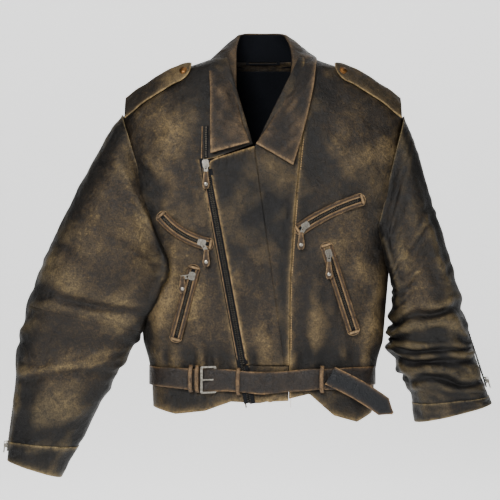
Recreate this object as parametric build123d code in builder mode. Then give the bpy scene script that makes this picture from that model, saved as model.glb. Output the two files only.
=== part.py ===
from build123d import *
import os
from math import atan2, cos, degrees, hypot, radians, sin

# Leather riding jacket hanging closed, millimetres. Front faces -Y, the wearer's right side is -X.
# The origin is the centre of the neck seam, where a hanger's hook comes out.

# --- driving dimensions ---
shoulder_width = 486.0  # between the two shoulder seams
chest_width = 476.0
waist_width = 384.0
torso_depth = 184.0
hem_z = -600.0
leather = 2.5  # outer shell with its turned seams
seam_gap = 0.5  # between neighbouring panels
lining_gap = 9.0  # room for pocket bags between leather and lining
lining_wall = 1.0
belt_z = -552.0  # centre line of the belt
belt_height = 36.0
strap = 2.0  # thickness of straps and tabs
zip_lean = 0.1838  # sideways run of the main zip for each millimetre down
zip_top = (-98.0, -186.0)
zip_travel = 285.0
zip_opening = 18.0  # between the two piped edges
overlap_hinge_top = (-15.7, -157.5)
overlap_lean = 0.1388  # sideways run of the fold line for each millimetre down
tooth_pitch = 5.2
tooth_size = 2.4
puller_length = 20.0
tab_length = 27.0
sleeve_wall = 2.5
sleeve_clear = 4.0  # between a sleeve and the side of the torso
elbow_z = -455.0
right_cuff_z = -690.0
left_cuff_z = -577.0
cuff_height = 44.0

front_y = -torso_depth / 2
chest_z = -170.0
shoulder_z = -105.0
waist_z = -530.0
half_shoulder = shoulder_width / 2
torso_levels = [
    (-8.0, half_shoulder - 148, torso_depth / 2 - 34, 40),
    (-20.0, half_shoulder - 103, torso_depth / 2 - 30, 50),
    (-40.0, half_shoulder - 71, torso_depth / 2 - 24, 50),
    (-70.0, half_shoulder - 26, torso_depth / 2 - 16, 52),
    (shoulder_z, half_shoulder, torso_depth / 2 - 8, 54),
    (chest_z, chest_width / 2, torso_depth / 2, 55),
    (waist_z, waist_width / 2, torso_depth / 2, 55),
    (hem_z, waist_width / 2 - 5, torso_depth / 2, 55),
]
front = Plane.XZ.offset(-front_y)  # the flat outer face of the jacket's front, looking along +Y

os.makedirs("parts", exist_ok=True)


def save(builder, name):
    builder.part.label = name
    export_step(builder.part, f"parts/{name}.step")


def half_width(z):
    """Half width of the torso at a height, straight between its levels."""
    for (z1, a1, _, _), (z2, a2, _, _) in zip(torso_levels, torso_levels[1:]):
        if z2 <= z <= z1:
            return a1 + (a2 - a1) * (z1 - z) / (z1 - z2)
    return torso_levels[-1][1]


def zip_x(z):
    """Centre line of the main zip."""
    return zip_top[0] + (zip_top[1] - z) * zip_lean


def fold_x(z):
    """Fold line of the overlap."""
    return overlap_hinge_top[0] + (overlap_hinge_top[1] - z) * overlap_lean


def tube(levels, inset):
    """Solid through rounded rectangles (z, centre x, centre y, half x, half y, corner), each pulled in by inset."""
    with BuildPart() as made:
        for z, x, y, a, b, corner in levels:
            with BuildSketch(Plane.XY.offset(z)):
                with Locations((x, y)):
                    RectangleRounded(2 * (a - inset), 2 * (b - inset), min(corner, a - 1, b - 1) - inset)
        loft(ruled=True)
    return made.part


def shell(levels, outside, wall):
    """Open-ended wall between two insets of the same tube."""
    with BuildPart() as made:
        add(tube(levels, outside))
        first, last = levels[0], levels[-1]
        past = 0.01 if first[0] > last[0] else -0.01
        longer = [(first[0] + past, *first[1:])] + levels[1:-1] + [(last[0] - past, *last[1:])]
        add(tube(longer, outside + wall), mode=Mode.SUBTRACT)
    return made.part


torso_tube = [(z, 0.0, 0.0, a, b, corner) for z, a, b, corner in torso_levels]
outer_shell = shell(torso_tube, 0.0, leather)
lining_shell = shell(torso_tube, leather + lining_gap, lining_wall)
far = 600.0

# The armhole plane leans inwards going down; it parts the torso from the sleeve on each side.
armhole_lean = 0.0857
armhole_top = (half_shoulder - 3, shoulder_z)


def armhole_x(z):
    return armhole_top[0] - (shoulder_z - z) * armhole_lean


def panel(source, outline, y_low, y_high):
    """The stretch of a wall inside an outline in the XZ plane and between two depths."""
    with BuildPart() as made:
        add(source)
        with BuildSketch(Plane.XZ.offset(-y_high)):
            with BuildLine():
                Polyline(*outline, close=True)
            make_face()
        extrude(amount=y_high - y_low, mode=Mode.INTERSECT)
    return made.part


gap = seam_gap / 2
side_top = armhole_x(shoulder_z) - gap
side_low = armhole_x(-330) - gap
right_edge = [(-side_top, 60), (-side_top, shoulder_z), (-side_low, -330), (-far, -330), (-far, hem_z - 20)]
left_edge = [(-x, z) for x, z in right_edge]
overlap_top_z = overlap_hinge_top[1]
overlap_corner_z = -179.0
belt_top = belt_z + belt_height / 2
overlap_end_z = belt_top + 6
half_opening = zip_opening / 2
neck_low = (overlap_hinge_top[0] + 1.0, overlap_top_z + 5)
neck_side = 62.0
seam_line = [(66, -136), (54, -254), (45, -383), (42.5, overlap_end_z)]  # long vertical seam, left front

right_outline = right_edge + [
    (zip_x(hem_z - 20) - half_opening, hem_z - 20),
    (zip_x(overlap_corner_z) - half_opening, overlap_corner_z),
    (zip_x(overlap_corner_z) + half_opening, overlap_corner_z + 4),
    (neck_low[0] - 2, neck_low[1]),
    (-neck_side, -8),
    (-neck_side, 60),
]
center_outline = [(neck_side, 60), (neck_side, -8), neck_low] + [
    (fold_x(overlap_top_z) + gap, overlap_top_z),
    (fold_x(overlap_end_z) + gap, overlap_end_z),
    (seam_line[-1][0] - gap, overlap_end_z),
    *[(x - gap, z) for x, z in reversed(seam_line[:-1])],
    (72 - gap, 0),
    (72 - gap, 60),
]
left_outline = left_edge + [
    (seam_line[-1][0] + gap, hem_z - 20),
    *[(x + gap, z) for x, z in reversed(seam_line)],
    (72 + gap, 0),
    (72 + gap, 60),
]
skirt_outline = [
    (zip_x(overlap_end_z) + half_opening, overlap_end_z - 1.5),
    (seam_line[-1][0] - gap, overlap_end_z - 1.5),
    (seam_line[-1][0] - gap, hem_z - 20),
    (zip_x(hem_z) + half_opening, hem_z - 20),
]
overlap_outline = [
    (zip_x(overlap_corner_z) + half_opening, overlap_corner_z),
    (fold_x(overlap_top_z) - gap, overlap_top_z),
    (fold_x(overlap_end_z) - gap, overlap_end_z),
    (zip_x(overlap_end_z) + half_opening, overlap_end_z),
]
back_outline = [*right_edge, *reversed(left_edge)]
yoke_z = -150.0
above_yoke = [(-far, 60), (far, 60), (far, yoke_z + gap), (-far, yoke_z + gap)]
below_yoke = [(-far, yoke_z - gap), (far, yoke_z - gap), (far, hem_z - 20), (-far, hem_z - 20)]


# --- pockets: ends of each zip on the flat front, and how far its middle bows to the side ---
pocket_width = 8.0  # the opening
welt_width = 7.0  # the welt on each side of it
welt_rise = 1.5
pockets = {
    "right_chest": {"start": (-96, -322), "end": (-170, -278), "bow": 7.0, "hang": (0.5, -0.87)},
    "left_chest": {"start": (64, -296), "end": (162, -248), "bow": -4.0, "hang": (-0.5, -0.87)},
    "right_hand": {"start": (-119, -368), "end": (-148, -478), "bow": 0.0, "hang": (-0.99, -0.14)},
    "left_hand": {"start": (108, -330), "end": (152, -466), "bow": 0.0, "hang": (0.02, -1.0)},
}
zip_room = 9.0  # from each end of an opening to the slider's centre


def bow_point(pocket):
    """Middle of the pocket's line: below its chord for a positive bow."""
    (x1, z1), (x2, z2) = pocket["start"], pocket["end"]
    run = hypot(x2 - x1, z2 - z1)
    side = 1 if x2 > x1 else -1
    nx, nz = side * (z2 - z1) / run, -side * (x2 - x1) / run
    return (x1 + x2) / 2 + nx * pocket["bow"], (z1 + z2) / 2 + nz * pocket["bow"]


def slot_area(pocket, width):
    """The pocket's line given a width, with round ends; used inside a sketch."""
    with BuildLine(mode=Mode.PRIVATE) as line:
        if pocket["bow"]:
            ThreePointArc(pocket["start"], bow_point(pocket), pocket["end"])
        else:
            Line(pocket["start"], pocket["end"])
    if pocket["bow"]:
        SlotArc(line.edges()[0], width)
    else:
        (x1, z1), (x2, z2) = pocket["start"], pocket["end"]
        with Locations(((x1 + x2) / 2, (z1 + z2) / 2)):
            SlotCenterToCenter(
                hypot(x2 - x1, z2 - z1), width, rotation=degrees(atan2(z2 - z1, x2 - x1))
            )
    return line.edges()[0]


def cut_pockets(source, names):
    with BuildPart() as made:
        add(source)
        with BuildSketch(front.offset(5)):
            for name in names:
                slot_area(pockets[name], pocket_width)
        extrude(amount=-15, mode=Mode.SUBTRACT)
    return made.part


with BuildPart() as right_front:
    add(cut_pockets(panel(outer_shell, right_outline, -far, -gap), ["right_chest", "right_hand"]))
save(right_front, "right_front")

with BuildPart() as left_front:
    add(cut_pockets(panel(outer_shell, left_outline, -far, -gap), ["left_chest", "left_hand"]))
save(left_front, "left_front")

with BuildPart() as left_center_panel:
    add(panel(outer_shell, center_outline, -far, -gap))
save(left_center_panel, "left_center_panel")

with BuildPart() as overlap_skirt:
    add(panel(outer_shell, skirt_outline, -far, -gap))
save(overlap_skirt, "overlap_skirt")

with BuildPart() as front_overlap:
    add(panel(outer_shell, overlap_outline, -far, -gap))
    fillet(front_overlap.edges().filter_by(Axis.Y).group_by(Axis.X)[0], 9)
save(front_overlap, "front_overlap")

whole_back = panel(outer_shell, back_outline, gap, far)
with BuildPart() as back_yoke:
    add(panel(whole_back, above_yoke, gap, far))
save(back_yoke, "back_yoke")

with BuildPart() as back_panel:
    add(panel(whole_back, below_yoke, gap, far))
save(back_panel, "back_panel")

# --- linings hang free inside the leather, and stop short of the armholes and the front opening ---
lining_top = -30.0
right_lining_edge = [(-side_top, lining_top), (-side_top, shoulder_z), (-side_low, -330), (-far, -330)]
right_lining_edge += [(-far, hem_z + 12)]
left_lining_edge = [(-x, z) for x, z in right_lining_edge]
right_lining = right_lining_edge + [
    (zip_x(hem_z) - 22, hem_z + 12),
    (zip_x(overlap_corner_z) - 22, overlap_corner_z),
    (-neck_side - 30, lining_top),
]
left_lining = left_lining_edge + [
    (seam_line[-1][0] + 8, hem_z + 12),
    (seam_line[0][0] + 8, seam_line[0][1]),
    (neck_side + 30, lining_top),
]
with BuildPart() as front_linings:
    add(panel(lining_shell, right_lining, -far, -gap))
    add(panel(lining_shell, left_lining, -far, -gap))
save(front_linings, "front_linings")

with BuildPart() as back_lining:
    add(panel(lining_shell, [*right_lining_edge, *reversed(left_lining_edge)], gap, far))
save(back_lining, "back_lining")

# --- storm flap behind the main zip ---
flap_y = front_y + leather + 1.0
with BuildPart() as storm_flap:
    with BuildSketch(Plane.XZ.offset(-flap_y)):
        with BuildLine():
            Polyline(
                (zip_x(overlap_corner_z) - 24, overlap_corner_z),
                (zip_x(overlap_corner_z) + 26, overlap_corner_z),
                (zip_x(hem_z + 15) + 26, hem_z + 15),
                (zip_x(hem_z + 15) - 24, hem_z + 15),
                close=True,
            )
        make_face()
    extrude(amount=-strap)
save(storm_flap, "storm_flap")

# --- zips: tape in the opening, teeth standing on it ---
tape_out = front_y + 0.5
tape_wall = 1.0
teeth_out = front_y - 1.5
slider_in = front_y - 1.9  # inner face of every slider
slider_plate = 2.6
slider_out = slider_in - slider_plate


def zip_direction():
    run = hypot(1, zip_lean)
    return zip_lean / run, -1 / run


def main_zip_half(side, z_high, z_low):
    """One half of the main zip; side is -1 for the half on the right front, 1 for the overlap's."""
    inner, outer = side * 0.7, side * (half_opening - 0.3)
    with BuildPart() as made:
        with BuildSketch(Plane.XZ.offset(-tape_out)):
            with BuildLine():
                Polyline(
                    (zip_x(z_high) + inner, z_high),
                    (zip_x(z_high) + outer, z_high),
                    (zip_x(z_low) + outer, z_low),
                    (zip_x(z_low) + inner, z_low),
                    close=True,
                )
            make_face()
        extrude(amount=-tape_wall)
        count = int((z_high - z_low - 6) / tooth_pitch)
        with BuildSketch(Plane.XZ.offset(-tape_out)):
            for i in range(count):
                z = z_high - 3 - tooth_pitch * (i + 0.5)
                with Locations((zip_x(z) + side * (0.7 + tooth_size / 2), z)):
                    Rectangle(tooth_size, tooth_size)
        extrude(amount=tape_out - teeth_out)
    return made.part


with BuildPart() as main_zip_right_half:
    add(main_zip_half(-1, overlap_corner_z, hem_z + 10))
save(main_zip_right_half, "main_zip_right_half")

with BuildPart() as main_zip_left_half:
    add(main_zip_half(1, zip_top[1] - 12, overlap_end_z + 1))
save(main_zip_left_half, "main_zip_left_half")


def pocket_line(name):
    """Point and direction along a pocket's line at a fraction of its length."""
    pocket = pockets[name]
    with BuildLine(mode=Mode.PRIVATE) as line:
        if pocket["bow"]:
            ThreePointArc(pocket["start"], bow_point(pocket), pocket["end"])
        else:
            Line(pocket["start"], pocket["end"])
    return line.edges()[0]


for name, pocket in pockets.items():
    with BuildPart() as welt:
        with BuildSketch(front):
            slot_area(pocket, pocket_width + 2 * welt_width)
        extrude(amount=welt_rise)
        with BuildSketch(front):
            slot_area(pocket, pocket_width)
        extrude(amount=welt_rise, mode=Mode.SUBTRACT)
    save(welt, f"{name}_welt")

with BuildPart() as pocket_zip_chains:
    for name, pocket in pockets.items():
        with BuildSketch(Plane.XZ.offset(-tape_out)):
            slot_area(pocket, pocket_width - 0.8)
        extrude(amount=-tape_wall)
        line = pocket_line(name)
        count = int(line.length / tooth_pitch)
        with BuildSketch(Plane.XZ.offset(-tape_out)):
            for i in range(count):
                point = line.position_at((i + 0.5) / count)
                way = line.tangent_at((i + 0.5) / count)
                with Locations((point.X, point.Y)):
                    Rectangle(tooth_size, 2 * tooth_size, rotation=degrees(atan2(way.Y, way.X)))
        extrude(amount=tape_out - teeth_out)
save(pocket_zip_chains, "pocket_zip_chains")

with BuildPart() as pocket_bags:
    for name, pocket in pockets.items():
        (x1, z1), (x2, z2) = pocket["start"], pocket["end"]
        low_x = min(x1, x2) + (6 if x2 < 0 else -12)
        high_x = max(x1, x2) + (12 if x2 < 0 else -6)
        low_z = min(z1, z2) - (30 if "chest" in name else 10)
        high_z = max(z1, z2) - (-8 if "chest" in name else 4)
        with BuildSketch(Plane.XZ.offset(-(front_y + leather + 4.2))):
            with Locations(((low_x + high_x) / 2, (low_z + high_z) / 2)):
                RectangleRounded(high_x - low_x, high_z - low_z, 8)
        extrude(amount=-strap)
save(pocket_bags, "pocket_bags")

# --- sliders, pullers and leather tabs ---
slider_length = 14.0
slider_width = 11.0
bail = 1.6  # thickness of the arch that holds the puller
bar = 1.6  # thickness of the puller's wire
bar_y = slider_out - 1.7  # centre of the puller's cross bar
puller_width = 7.0
stud_radius = 4.6


def slider_part(centre, along, hang):
    """Slider with an arch; along is the zip's direction, hang the way the puller lies."""
    turn = degrees(atan2(along[1], along[0]))
    with BuildPart() as made:
        with BuildSketch(Plane.XZ.offset(-slider_in)):
            with Locations(centre):
                RectangleRounded(slider_length, slider_width, 3, rotation=turn)
        extrude(amount=slider_plate)
        arch = Plane(
            origin=(centre[0], slider_out, centre[1]),
            x_dir=(hang[0], 0, hang[1]),
            z_dir=(-hang[1], 0, hang[0]),
        )
        with BuildSketch(arch):
            with BuildLine():
                rise = -1 if (arch.y_dir.Y > 0) else 1
                Polyline(
                    (-4.6, -0.2 * rise), (-4.6, 3.6 * rise), (4.6, 3.6 * rise), (4.6, -0.2 * rise),
                    (3.4, -0.2 * rise), (3.4, 2.8 * rise), (-3.4, 2.8 * rise), (-3.4, -0.2 * rise),
                    close=True,
                )
            make_face()
        extrude(amount=bail / 2, both=True)
    return made.part


def puller_part(centre, hang, length):
    """Flat wire frame whose cross bar lies under the slider's arch; its far end has an eye."""
    turn = degrees(atan2(hang[1], hang[0]))
    with BuildPart() as made:
        with BuildSketch(Plane.XZ.offset(-(bar_y + bar / 2))):
            with Locations(Location((centre[0], centre[1], 0), (0, 0, turn))):
                with Locations((length / 2 - bar / 2, 0)):
                    RectangleRounded(length, puller_width, 0.7)
                with Locations((4.9, 0)):
                    Rectangle(8.2, 3.6, mode=Mode.SUBTRACT)
                with Locations((length - 4.2, 0)):
                    Circle(1.6, mode=Mode.SUBTRACT)
        extrude(amount=bar)
    return made.part


def tab_part(pin, reach):
    """Leather strip hung from the puller's eye by a rivet, with a domed stud near its lower end."""
    tab_y = bar_y - bar / 2 - 0.4
    with BuildPart() as made:
        with BuildSketch(Plane.XZ.offset(-tab_y)):
            with BuildLine():
                Polyline(
                    (pin[0] - 3, pin[1] + 3), (pin[0] + 3, pin[1] + 3),
                    (pin[0] + 6, pin[1] - reach + 4), (pin[0] + 3, pin[1] - reach),
                    (pin[0] - 3, pin[1] - reach), (pin[0] - 6, pin[1] - reach + 4),
                    close=True,
                )
            make_face()
        extrude(amount=strap)
        with BuildSketch(Plane.XZ.offset(-tab_y)):
            with Locations(pin):
                Circle(1.2)
        extrude(amount=-(bar + 0.2))
        with BuildSketch(Plane.XZ.offset(-(tab_y - strap))):
            with Locations((pin[0], pin[1] - reach + 7)):
                Circle(stud_radius)
        extrude(amount=1.8)
        chamfer(made.faces().sort_by(Axis.Y)[0].edges(), 1.0)
    return made.part


def eye_of(centre, hang, length):
    return centre[0] + hang[0] * (length - 4.2), centre[1] + hang[1] * (length - 4.2)


def unit(x, z):
    run = hypot(x, z)
    return x / run, z / run


zip_ends = {"main": (zip_top, zip_direction(), (0.05, -1.0))}
for name, pocket in pockets.items():
    line = pocket_line(name)
    share = zip_room / line.length
    point = line.position_at(share)
    way = line.tangent_at(share)
    zip_ends[name] = ((point.X, point.Y), unit(way.X, way.Y), pocket["hang"])

for name, (centre, along, hang) in zip_ends.items():
    hang = unit(*hang)
    with BuildPart() as slider:
        add(slider_part(centre, along, hang))
    save(slider, f"{name}_slider")
    with BuildPart() as puller:
        add(puller_part(centre, hang, puller_length))
    save(puller, f"{name}_puller")
    with BuildPart() as tab:
        add(tab_part(eye_of(centre, hang, puller_length), tab_length))
    save(tab, f"{name}_tab")

# --- collar: stand round the back of the neck, a fall behind and a leaf on each front ---
stand_top = 40.0
neck_half = half_shoulder - 148
neck_depth = torso_depth / 2 - 34
collar_y_cut = -18.0
stand_tube = [
    (-7.5, 0.0, 0.0, neck_half - 2, neck_depth - 2, 40),
    (stand_top, 0.0, 4.0, neck_half - 22, neck_depth - 8, 40),
]
with BuildPart() as collar_stand:
    stand_outline = [(-far, 80), (far, 80), (far, -40), (-far, -40)]
    add(panel(shell(stand_tube, 0.0, leather), stand_outline, collar_y_cut, far))
save(collar_stand, "collar_stand")

fall_tube = [
    (-6.0, 0.0, 0.0, neck_half + 20, neck_depth + 20, 45),
    (stand_top + 10, 0.0, 4.0, neck_half - 12, neck_depth + 3, 42),
]
fall_half = 55.0
with BuildPart() as collar_back_fall:
    fall_outline = [(-fall_half, 80), (fall_half, 80), (fall_half, -40), (-fall_half, -40)]
    add(panel(shell(fall_tube, 0.0, leather), fall_outline, 30, far))
save(collar_back_fall, "collar_back_fall")

leaf_tilt = 0.165  # the chest falls back towards the neck by this much for each millimetre up
leaf_gap = 5.5
leaf_plane = Plane(
    origin=(0, front_y - leaf_gap, chest_z),
    x_dir=(1, 0, 0),
    z_dir=(0, -1, leaf_tilt),
)
leaf_right = [(-48, 0), (-82, 6), (-89, -10), (-89, -168), (-20, -151), (-30, -140), (-45, -68)]
leaf_left = [
    (50, 0), (82, 6), (86, -10), (84, -60), (66, -131), (49, -188), (26, -168), (-10, -152), (-2, -140), (26, -80),
]
rise_scale = hypot(1, leaf_tilt)
for name, outline in (("collar_right_leaf", leaf_right), ("collar_left_leaf", leaf_left)):
    with BuildPart() as leaf:
        with BuildSketch(leaf_plane):
            with BuildLine():
                Polyline(*[(x, (z - chest_z) * rise_scale) for x, z in outline], close=True)
            make_face()
        extrude(amount=leather)
    save(leaf, name)

with BuildPart() as hang_loop:
    with BuildSketch(Plane.XZ.offset(-(neck_depth - 12))):
        Rectangle(60, 8)
        Rectangle(50, 4, mode=Mode.SUBTRACT)
    extrude(amount=-strap)
save(hang_loop, "hang_loop")

# --- epaulettes lie along the shoulders, fixed at the sleeve end, with a snap at the neck end ---
strap_length = 128.0
ridge_rise = torso_levels[1][0] - shoulder_z
shoulder_slope = atan2(ridge_rise, half_shoulder - torso_levels[1][1])
epaulette_lift = 21.0  # from the seam level to the strap


def shoulder_plane(side):
    """Top of a shoulder: x runs up from the sleeve seam towards the neck."""
    start = (side * (half_shoulder - 4), -6, shoulder_z + epaulette_lift)
    return Plane(
        origin=start,
        x_dir=(-side * cos(shoulder_slope), 0, sin(shoulder_slope)),
        z_dir=(side * sin(shoulder_slope), 0, cos(shoulder_slope)),
    )


for side, word in ((-1, "right"), (1, "left")):
    top = shoulder_plane(side)
    with BuildPart() as epaulette:
        with BuildSketch(top):
            with BuildLine():
                Polyline((0, -21), (strap_length - 22, -17), (strap_length - 22, 17), (0, 21), close=True)
            make_face()
            with Locations((strap_length - 22, 0)):
                Circle(17)
        extrude(amount=strap)
    save(epaulette, f"{word}_epaulette")
    with BuildPart() as snap_cap:
        with BuildSketch(top.offset(strap)):
            with Locations((strap_length - 20, 0)):
                Circle(8)
        extrude(amount=2.6)
        chamfer(snap_cap.faces().sort_by(Axis.Z)[-1].edges(), 1.4)
    save(snap_cap, f"{word}_snap_cap")

# --- sleeves: an upper and a lower tube each, with a cuff; cut by the armhole plane ---
sleeve_shapes = {
    "right": {
        "side": -1,
        "levels": [(-106, 262, 40), (-175, 297, 80), (-245, 329, 86), (-350, 383, 78), (elbow_z, 416, 54)],
        "wrist": (right_cuff_z, 331, 447, 40, 0.0),
        "cuff": (345, 441, 36, 0.0),
    },
    "left": {
        "side": 1,
        "levels": [(-106, 258, 40), (-175, 282, 80), (-245, 300, 88), (-350, 326, 88), (elbow_z, 352, 80)],
        "wrist": (left_cuff_z, 266, 390, 56, -14.0),
        "cuff": (268, 392, 50, -18.0),
    },
}
grow = half_shoulder - 243.0  # sleeves move out with the shoulders


def sleeve_levels(shape):
    """Rounded rectangles down the sleeve; the inner side keeps clear of the torso."""
    made = []
    for z, outer, depth in shape["levels"]:
        clear = half_width(z) + sleeve_clear
        inner = clear if z <= -350 else armhole_x(z) - 18
        corner = min(38, (outer + grow - inner) / 2 - 2)
        middle = shape["side"] * (outer + grow + inner) / 2
        made.append((z, middle, 0.0, (outer + grow - inner) / 2, depth, corner))
    return made


def end_level(shape, z, inner, outer, depth, y):
    inner = max(inner + grow, half_width(z) + sleeve_clear)
    return (z, shape["side"] * (outer + grow + inner) / 2, y, (outer + grow - inner) / 2, depth, 34)


cuff_zip_length = 120.0
for word, shape in sleeve_shapes.items():
    side = shape["side"]
    levels = sleeve_levels(shape)
    with BuildPart() as upper_sleeve:
        add(shell(levels, 0.0, sleeve_wall))
        with BuildSketch(Plane.XZ.offset(-far)):
            with BuildLine():
                Polyline(
                    (side * (armhole_x(-106) + seam_gap), -105.5),
                    (side * (armhole_x(elbow_z - 5) + seam_gap), elbow_z - 5),
                    (side * far, elbow_z - 5),
                    (side * far, -105.5),
                    close=True,
                )
            make_face()
        extrude(amount=2 * far, mode=Mode.INTERSECT)
    save(upper_sleeve, f"{word}_upper_sleeve")
    z, inner, outer, depth, y = shape["wrist"]
    elbow = (elbow_z - 1.0, *levels[-1][1:])
    wrist = end_level(shape, z, inner, outer, depth, y)
    with BuildPart() as lower_sleeve:
        add(shell([elbow, wrist], 0.0, sleeve_wall))
    save(lower_sleeve, f"{word}_lower_sleeve")
    inner, outer, depth, y = shape["cuff"]
    with BuildPart() as cuff:
        first = (z - 0.4, *wrist[1:])
        last = end_level(shape, z - cuff_height, inner, outer, depth, y)
        add(shell([first, last], -0.6, sleeve_wall + 1.2))
    save(cuff, f"{word}_cuff")
    # The cuff's zip lies on the flat outer side of the lower sleeve.
    high = Vector(side * (abs(elbow[1]) + elbow[3]), elbow[2], elbow[0])
    low = Vector(side * (abs(wrist[1]) + wrist[3]), wrist[2], wrist[0])
    down = (low - high).normalized()
    out = Vector(side * abs(down.Z), 0, side * down.X).normalized()
    face = Plane(origin=low + out * 0.3, x_dir=down, z_dir=out)
    with BuildPart() as cuff_zip:
        with BuildSketch(face):
            with Locations((-cuff_zip_length / 2 - 6, 0)):
                RectangleRounded(cuff_zip_length, 14, 2)
        extrude(amount=1.2)
        with BuildSketch(face.offset(1.2)):
            count = int((cuff_zip_length - 8) / tooth_pitch)
            for i in range(count):
                with Locations((-10 - tooth_pitch * (i + 0.5), 0)):
                    Rectangle(tooth_size, 2 * tooth_size)
        extrude(amount=1.0)
    save(cuff_zip, f"{word}_cuff_zip")
    with BuildPart() as slider:
        with BuildSketch(face.offset(2.6)):
            with Locations((-18, 0)):
                RectangleRounded(12, 10, 3)
        extrude(amount=2.4)
        arch = Plane(origin=face.from_local_coords((-18, 0, 5.0)), x_dir=down, z_dir=(face.y_dir))
        with BuildSketch(arch):
            rise = 1 if (arch.y_dir.dot(out) > 0) else -1
            with BuildLine():
                Polyline(
                    (-4.6, -0.2 * rise), (-4.6, 3.6 * rise), (4.6, 3.6 * rise), (4.6, -0.2 * rise),
                    (3.4, -0.2 * rise), (3.4, 2.8 * rise), (-3.4, 2.8 * rise), (-3.4, -0.2 * rise),
                    close=True,
                )
            make_face()
        extrude(amount=bail / 2, both=True)
    save(slider, f"{word}_cuff_slider")
    with BuildPart() as puller:
        with BuildSketch(face.offset(5.0 + 1.7 - bar / 2)):
            with Locations((-18 + 16 / 2 - bar / 2, 0)):
                RectangleRounded(16, puller_width, 0.7)
            with Locations((-18 + 4.9, 0)):
                Rectangle(8.2, 3.6, mode=Mode.SUBTRACT)
        extrude(amount=bar)
    save(puller, f"{word}_cuff_puller")
    print(word, "cuff zip: down", down, "out", out, "bar", face.from_local_coords((-18, 0, 6.7)))

# --- belt ---
under_gap = 2.0  # from the leather to the lower strap
over_gap = 5.0  # and to the upper strap
over_in = front_y - over_gap
buckle_x = -82.0
frame_run = 23.0
buckle_wire = 2.0
belt_low = belt_z - belt_height / 2
loop_wall = 1.5


def strap_ring(inset, x_low, x_high, y_low, y_high):
    """A stretch of a band that follows the torso at a distance of -inset."""
    band = [(belt_top, 0.0, 0.0, *side_size(belt_top)), (belt_low, 0.0, 0.0, *side_size(belt_low))]
    outline = [(x_low, belt_top + 5), (x_high, belt_top + 5), (x_high, belt_low - 5), (x_low, belt_low - 5)]
    return panel(shell(band, inset, strap), outline, y_low, y_high)


def side_size(z):
    return half_width(z), torso_depth / 2, 55


tail_x = 106.0
tail_clearance = 11.0  # room for the tail's square end as it swings
with BuildPart() as tongue_strap:
    add(strap_ring(-(over_gap + strap), -far, tail_x - tail_clearance, -far, 20))
    with BuildSketch(Plane.XZ.offset(-(over_in + 3))):
        with Locations((buckle_x - 4, belt_z)):
            SlotOverall(17, 5)
        with Locations(*[(x, belt_z) for x in (-152, 20, 52)]):
            Circle(2.5)
    extrude(amount=12, mode=Mode.SUBTRACT)
save(tongue_strap, "tongue_strap")

with BuildPart() as buckle_strap:
    add(strap_ring(-(under_gap + strap), buckle_x + 3.2, far, -far, 20))
save(buckle_strap, "buckle_strap")

loop_places = [-121.0, -112.0, -43.0, 98.0]
loop_width = 7.0
loop_rise = over_gap + strap + 2.5
with BuildPart() as belt_loops:
    for x in loop_places:
        with BuildSketch(Plane.YZ.offset(x)):
            with Locations((front_y - loop_rise / 2, belt_z)):
                Rectangle(loop_rise, belt_height + 6 + 2 * loop_wall)
            with Locations((front_y - (loop_rise - loop_wall) / 2, belt_z)):
                Rectangle(loop_rise - loop_wall, belt_height + 4, mode=Mode.SUBTRACT)
        extrude(amount=loop_width / 2, both=True)
save(belt_loops, "belt_loops")

hinge_y = front_y - under_gap - strap / 2
frame_rise = 10.7
frame_length = hypot(frame_run, frame_rise)
frame_plane = Plane(
    origin=(buckle_x, hinge_y, belt_z),
    x_dir=(-frame_run, -frame_rise, 0),
    z_dir=(-frame_rise, frame_run, 0),
)
with BuildPart() as buckle_frame:
    with BuildSketch(frame_plane):
        with Locations((frame_length / 2, 0)):
            RectangleRounded(frame_length + 2 * buckle_wire, belt_height + 10, 3)
            RectangleRounded(frame_length - 2 * buckle_wire, belt_height + 4, 1.5, mode=Mode.SUBTRACT)
        with Locations((0, 0)):
            Rectangle(6, 6, mode=Mode.SUBTRACT)
    extrude(amount=buckle_wire / 2, both=True)
    with BuildSketch(Plane.XY.offset(belt_z - 4)):
        with Locations((buckle_x, hinge_y)):
            Circle(0.9)
    extrude(amount=8)
save(buckle_frame, "buckle_frame")

with BuildPart() as buckle_prong:
    with BuildSketch(Plane.XY.offset(belt_z - 1.2)):
        with Locations((buckle_x, hinge_y)):
            Circle(1.9)
    extrude(amount=2.4)
    prong_plane = Plane(origin=(buckle_x, hinge_y, belt_z - 1.2), x_dir=(-frame_run, -frame_rise, 0), z_dir=(0, 0, 1))
    prong_side = 1 if prong_plane.y_dir.Y < 0 else -1
    with BuildSketch(prong_plane):
        with BuildLine():
            Polyline(
                (0, 1.6 * prong_side), (frame_length + 1, 2.9 * prong_side), (frame_length + 1, 1.4 * prong_side),
                (frame_length - 4, 1.3 * prong_side), (1.4, -0.2 * prong_side), (0, -1.2 * prong_side),
                close=True,
            )
        make_face()
    extrude(amount=2.4)
    with BuildSketch(Plane.XY.offset(belt_z - 2)):
        with Locations((buckle_x, hinge_y)):
            Circle(1.0)
    extrude(amount=4, mode=Mode.SUBTRACT)
save(buckle_prong, "buckle_prong")

tail_length = 128.0
tail_drop = radians(-31)
tail_root = (tail_x + 6.0, belt_z)
tail_plane = Plane(
    origin=(tail_root[0], over_in, tail_root[1]),
    x_dir=(cos(tail_drop), 0, sin(tail_drop)),
    z_dir=(0, -1, 0),
)
with BuildPart() as belt_tail:
    with BuildSketch(tail_plane):
        with BuildLine():
            half = belt_height / 2 - 2
            Polyline(
                (4, -half), (tail_length - 22, -half), (tail_length, 0), (tail_length - 22, half), (4, half),
                close=True,
            )
        make_face()
        with Locations(*[(tail_length - 34 - 26 * i, 0) for i in range(3)]):
            Circle(2.5, mode=Mode.SUBTRACT)
    extrude(amount=strap)
save(belt_tail, "belt_tail")
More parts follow.
